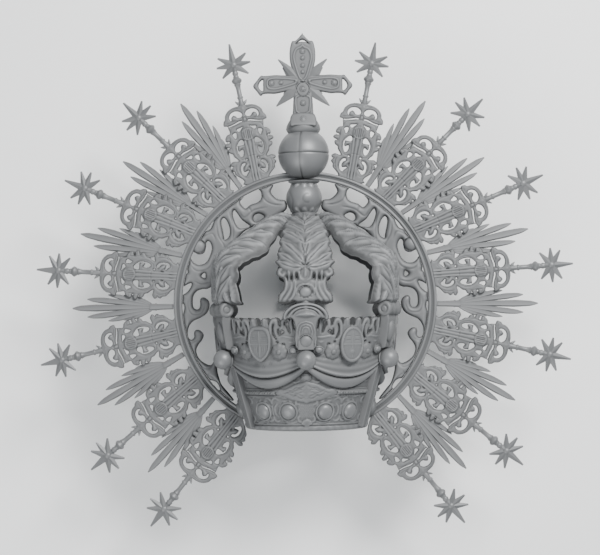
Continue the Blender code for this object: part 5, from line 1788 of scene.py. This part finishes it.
def globe_relief(unit, turns, tilts):
    """Engraved swirls, with short upright leaves above and leaf tips below."""
    cusps = np.abs(np.cos(turns * 5)) ** 0.8
    crown_leaves = np.clip((unit[..., 1] - 0.86 + 0.3 * cusps) * 9, 0, 1)
    low_leaves = np.clip((0.34 * cusps - 0.86 - unit[..., 1]) * 9, 0, 1)
    bare = np.clip(1 - crown_leaves - low_leaves, 0, 1)
    lines = 0
    for turn, slope in ((1.0, 0.8), (-1.2, -0.5), (2.6, 0.6), (-2.8, -0.9)):
        wave = np.sin(turns - turn - slope * np.sin(tilts * 2.2 + turn))
        lines = lines + np.exp(-((wave / 0.06) ** 2)) * (np.cos(turns - turn) > 0)
    ring = np.hypot(unit[..., 0] - 0.17, unit[..., 1] + 0.05)
    lines = lines + np.exp(-(((ring - 0.24) / 0.045) ** 2)) * (unit[..., 2] > 0) * (unit[..., 0] < 0.27)
    return 1.6 * crown_leaves + 1.4 * low_leaves - 0.4 * np.clip(lines, 0, 1) * bare


def make_globes():
    orb = ball("orb", ORB_RADIUS, 112, 72, orb_relief)
    orb.transform(Matrix.Translation((0, ORB_HEIGHT, 0)))
    finish_piece("engraved_orb", orb, BURNISHED, "orb")
    globe = ball("globe", GLOBE_RADIUS, 96, 48, globe_relief, low=math.radians(-55))
    globe.transform(Matrix.Translation((0, GLOBE_HEIGHT, 0)))
    neck = turned("neck", [
        (0.01, 101), (15.6, 101), (16.6, 102), (17.4, 104), (16.2, 106), (15.4, 109), (15.8, 112),
        (13, 114), (0.01, 114)], 48)
    collar = turned("collar", [
        (0.01, 146), (14, 146), (15, 148.4), (17.4, 149.6), (19.4, 150.6), (20, 151.6), (19, 152.2),
        (0.01, 152.2)], 48)
    whole = joined("globe", [globe, neck, collar])
    finish_piece("leafy_globe", whole, BURNISHED, "small_globe")
    print("orb and globe faces:", len(orb.polygons), len(whole.polygons))


make_globes()

# %% [markdown]
# The cross is a casting with pierced, pointed ends. Its raised panels hold stones, a medallion covers
# the crossing, and two pairs of ridged rays spring from behind it.

# %% Drawing the cross
CROSS_HEIGHT, CROSS_BASE, CROSS_BACK = 273, 6.2, -4.5


def draw_cross():
    cross = Relief((-52, -34), (52, 53), 0.46)
    plate(cross, [(-3, 50.4), (0.8, 50.3), (3.6, 47.2), (7, 44.2), (10.4, 43.6), (12.2, 38), (12.9, 33),
                  (12.9, 26), (11.8, 20), (9.8, 14), (8.6, 9.6), (17, 9.4), (28, 9.9), (36, 9.2),
                  (39.4, 9.2), (42, 9.3), (46, 4.4), (49.8, -0.9), (46.6, -5.4), (42.6, -10.4),
                  (39.6, -8.6), (34, -8.2), (28, -8.4), (21, -7.2), (14, -6), (9.8, -7.4), (9.5, -12),
                  (10.1, -25), (9.5, -33), (-3, -33)], 3)
    openings(cross, [
        [(-1, 45.6), (1.8, 45.1), (4.4, 43.2), (6.6, 41.1), (3.2, 42.8), (-1, 43.5)],
        [(40, 5.6), (43, 3.4), (44.5, -0.4), (43.2, -4.2), (40, -6), (39.8, 0)],
    ])
    swell(cross, 2.2, 1.9)
    top_panel = [(-2, 38.6), (3, 38.2), (7, 36), (9.4, 31), (9.6, 25), (7.6, 17), (5, 9), (2.6, 5), (-2, 5)]
    side_panel = [(5, 5), (12, 6.6), (22, 7.4), (30, 7.4), (35.4, 5.4), (36.8, 0.6), (35, -4), (29, -5.4),
                  (22, -4.2), (14, -2), (7, 0.6)]
    low_panel = [(-2, -12), (7.4, -12), (7.8, -24), (6, -28.6), (-2, -29.8)]
    for loop, edge in ((top_panel, 1.5), (side_panel, 1.5), (low_panel, 1.4)):
        near, depth = inside_loop(cross, loop)
        raised = 1.9 + 1.3 * np.sqrt(np.clip(1 - ((depth - edge * 0.7) / (edge * 0.7)) ** 2, 0, 1))
        here = cross.rise[near]
        cross.rise[near] = np.where(depth > -0.6, np.maximum(here, raised), here)
    for centre, size in (
        ((0, 33.4), 2.5), ((0, 26.6), 2.0), ((0, 19), 2.0), ((0, 12.4), 1.8), ((31.4, 1.6), 2.8),
        ((21.8, 2), 2.0), ((6.6, 3.4), 1.6), ((0, 3.8), 1.7), ((0, -18.8), 2.5),
    ):
        gem(cross, centre, (size, size), 1.7, collar=0.25, lift=2.3)
    gem(cross, (0, -4.4), (8.0, 7.6), 3.4, collar=0.2)
    near, depth = inside_loop(cross, [(-6, -4.4), (-3, 1), (3, 1), (6, -4.4), (3, -10), (-3, -10)])
    cross.rise[near] = np.where(depth > 0, 2.2 + 0.08 * depth, cross.rise[near])
    gem(cross, (0, -4.4), (2.9, 2.9), 1.9, collar=0.25, lift=2.4)
    chase(cross, [[(-9, -31.4), (9, -31.4)]], 0.5, 1.2)
    return cross


cross_drawing = draw_cross()
print("cross grid:", cross_drawing.x.shape)


# %% The cross, its rays and its collar
def make_cross():
    body = cast("cross", cross_drawing, CROSS_BASE, flat_place(CROSS_BACK, CROSS_HEIGHT))
    rays = []
    for side in (-1, 1):
        for path, widths, z in (
            ([(5, 6), (11, 12.4), (17, 18.6), (24.4, 25.6)], [3.6, 4.2, 2.7, 0.6], 0.9),
            ([(8, 5), (14, 10.6), (20, 17.6)], [3.0, 3.2, 0.6], -0.4),
            ([(7, -4), (13.4, -9.6), (19.6, -15), (26.6, -21.4)], [3.8, 4.6, 3.0, 0.6], 0.9),
            ([(10, -3), (15, -7), (19, -10)], [2.8, 3.2, 1.4], -0.6),
        ):
            placed = [(side * x * SQUARE, CROSS_HEIGHT + y * SQUARE) for x, y in path]
            rays.append((placed, [w * SQUARE for w in widths], z))
    ray_mesh = swept("rays", rays, 0.62)
    ray_mesh.set_sharp_from_angle(angle=RAY_RIDGE)
    collar = turned("collar", [
        (0.01, 236), (12.4, 236), (13.4, 233), (15, 230), (18, 226.6), (20.6, 221.6), (21.6, 217),
        (20.4, 214), (18.6, 212), (0.01, 211)], 56)
    plaque = Relief((-15, -8), (15, 10), 0.5)
    plate(plaque, [(-3, 8.4), (9, 8.4), (12, 6), (13.4, 0), (12.4, -4.6), (8, -4.2), (-3, -3)])
    swell(plaque, 2.6, 1.6)
    gem(plaque, (0, 2.6), (2.7, 2.7), 1.6, collar=0.25, lift=1.6)

    def plaque_place(x, y, z):
        out = 15.0 - y * 0.55 + z - 1.2 * (x / 12) ** 2
        return np.column_stack([x * SQUARE, 225 + y * SQUARE, out])

    plate_mesh = cast("plaque", plaque, 3, plaque_place, flat_back=False)
    whole = joined("cross", [body, ray_mesh, collar, plate_mesh])
    piece = finish_piece("jewelled_cross", whole, FROSTED, "cross")
    print("cross faces:", len(piece.data.polygons))


make_cross()

# %% [markdown]
# The photograph looks straight at the crown's front, level with the tips of its cresting, through a
# long lens. The crown lies down, so the camera hangs over it. A soft key light stands beyond the
# cross and a weaker, larger one on the other side, and the floor is pale paper.

# %% Camera, light and floor
VIEW_TILT, VIEW_ROLL = -1.3, 0.65
VIEW_DISTANCE, VIEW_WIDTH, SENSOR_WIDTH = 2.0, 0.75, 36
FLOOR_REACH, FLOOR_COLOUR = 12, (0.9, 0.9, 0.89, 1)
WORLD_COLOUR, WORLD_STRENGTH = (0.9, 0.95, 1, 1), 0.55
LIGHTS = (("key", (0.75, 1.15, 1.7), 0.8, 84), ("fill", (-0.8, -1.3, 1.6), 1.2, 30))
VIEW_CENTRE = Vector((-6.2 * MM, SHIFT + 31.5 * MM, LIFT))


def make_camera():
    data = bpy.data.cameras.new("camera")
    data.sensor_width = SENSOR_WIDTH
    data.lens = data.sensor_width * VIEW_DISTANCE / VIEW_WIDTH
    camera = add_object("camera", data)
    tilt = Matrix.Rotation(-math.radians(VIEW_TILT), 4, "X")
    roll = Matrix.Rotation(-math.radians(VIEW_ROLL), 4, "Z")
    camera.matrix_world = (
        Matrix.Translation(VIEW_CENTRE) @ tilt @ roll @ Matrix.Translation((0, 0, VIEW_DISTANCE))
    )
    bpy.context.scene.camera = camera


def area_light(name, place, size, power):
    data = bpy.data.lights.new(name, "AREA")
    data.size = size
    data.energy = power
    light = add_object(name, data)
    light.location = place
    light.rotation_euler = (Vector((0, 0, 0.1)) - light.location).to_track_quat("-Z", "Y").to_euler()


def make_studio():
    floor_mesh = bpy.data.meshes.new("floor")
    corners = [(x * FLOOR_REACH, y * FLOOR_REACH, 0) for x, y in ((-1, -1), (1, -1), (1, 1), (-1, 1))]
    floor_mesh.from_pydata(corners, [], [(0, 1, 2, 3)])
    paper = bpy.data.materials.new("floor_paper")
    paper.use_nodes = True
    shader = paper.node_tree.nodes["Principled BSDF"]
    shader.inputs["Base Color"].default_value = FLOOR_COLOUR
    shader.inputs["Roughness"].default_value = 0.9
    floor_mesh.materials.append(paper)
    floor = add_object("floor", floor_mesh)
    for light in LIGHTS:
        area_light(*light)
    world = bpy.data.worlds.new("studio")
    world.use_nodes = True
    sky = world.node_tree.nodes["Background"]
    sky.inputs["Color"].default_value = WORLD_COLOUR
    sky.inputs["Strength"].default_value = WORLD_STRENGTH
    bpy.context.scene.world = world


make_camera()
make_studio()
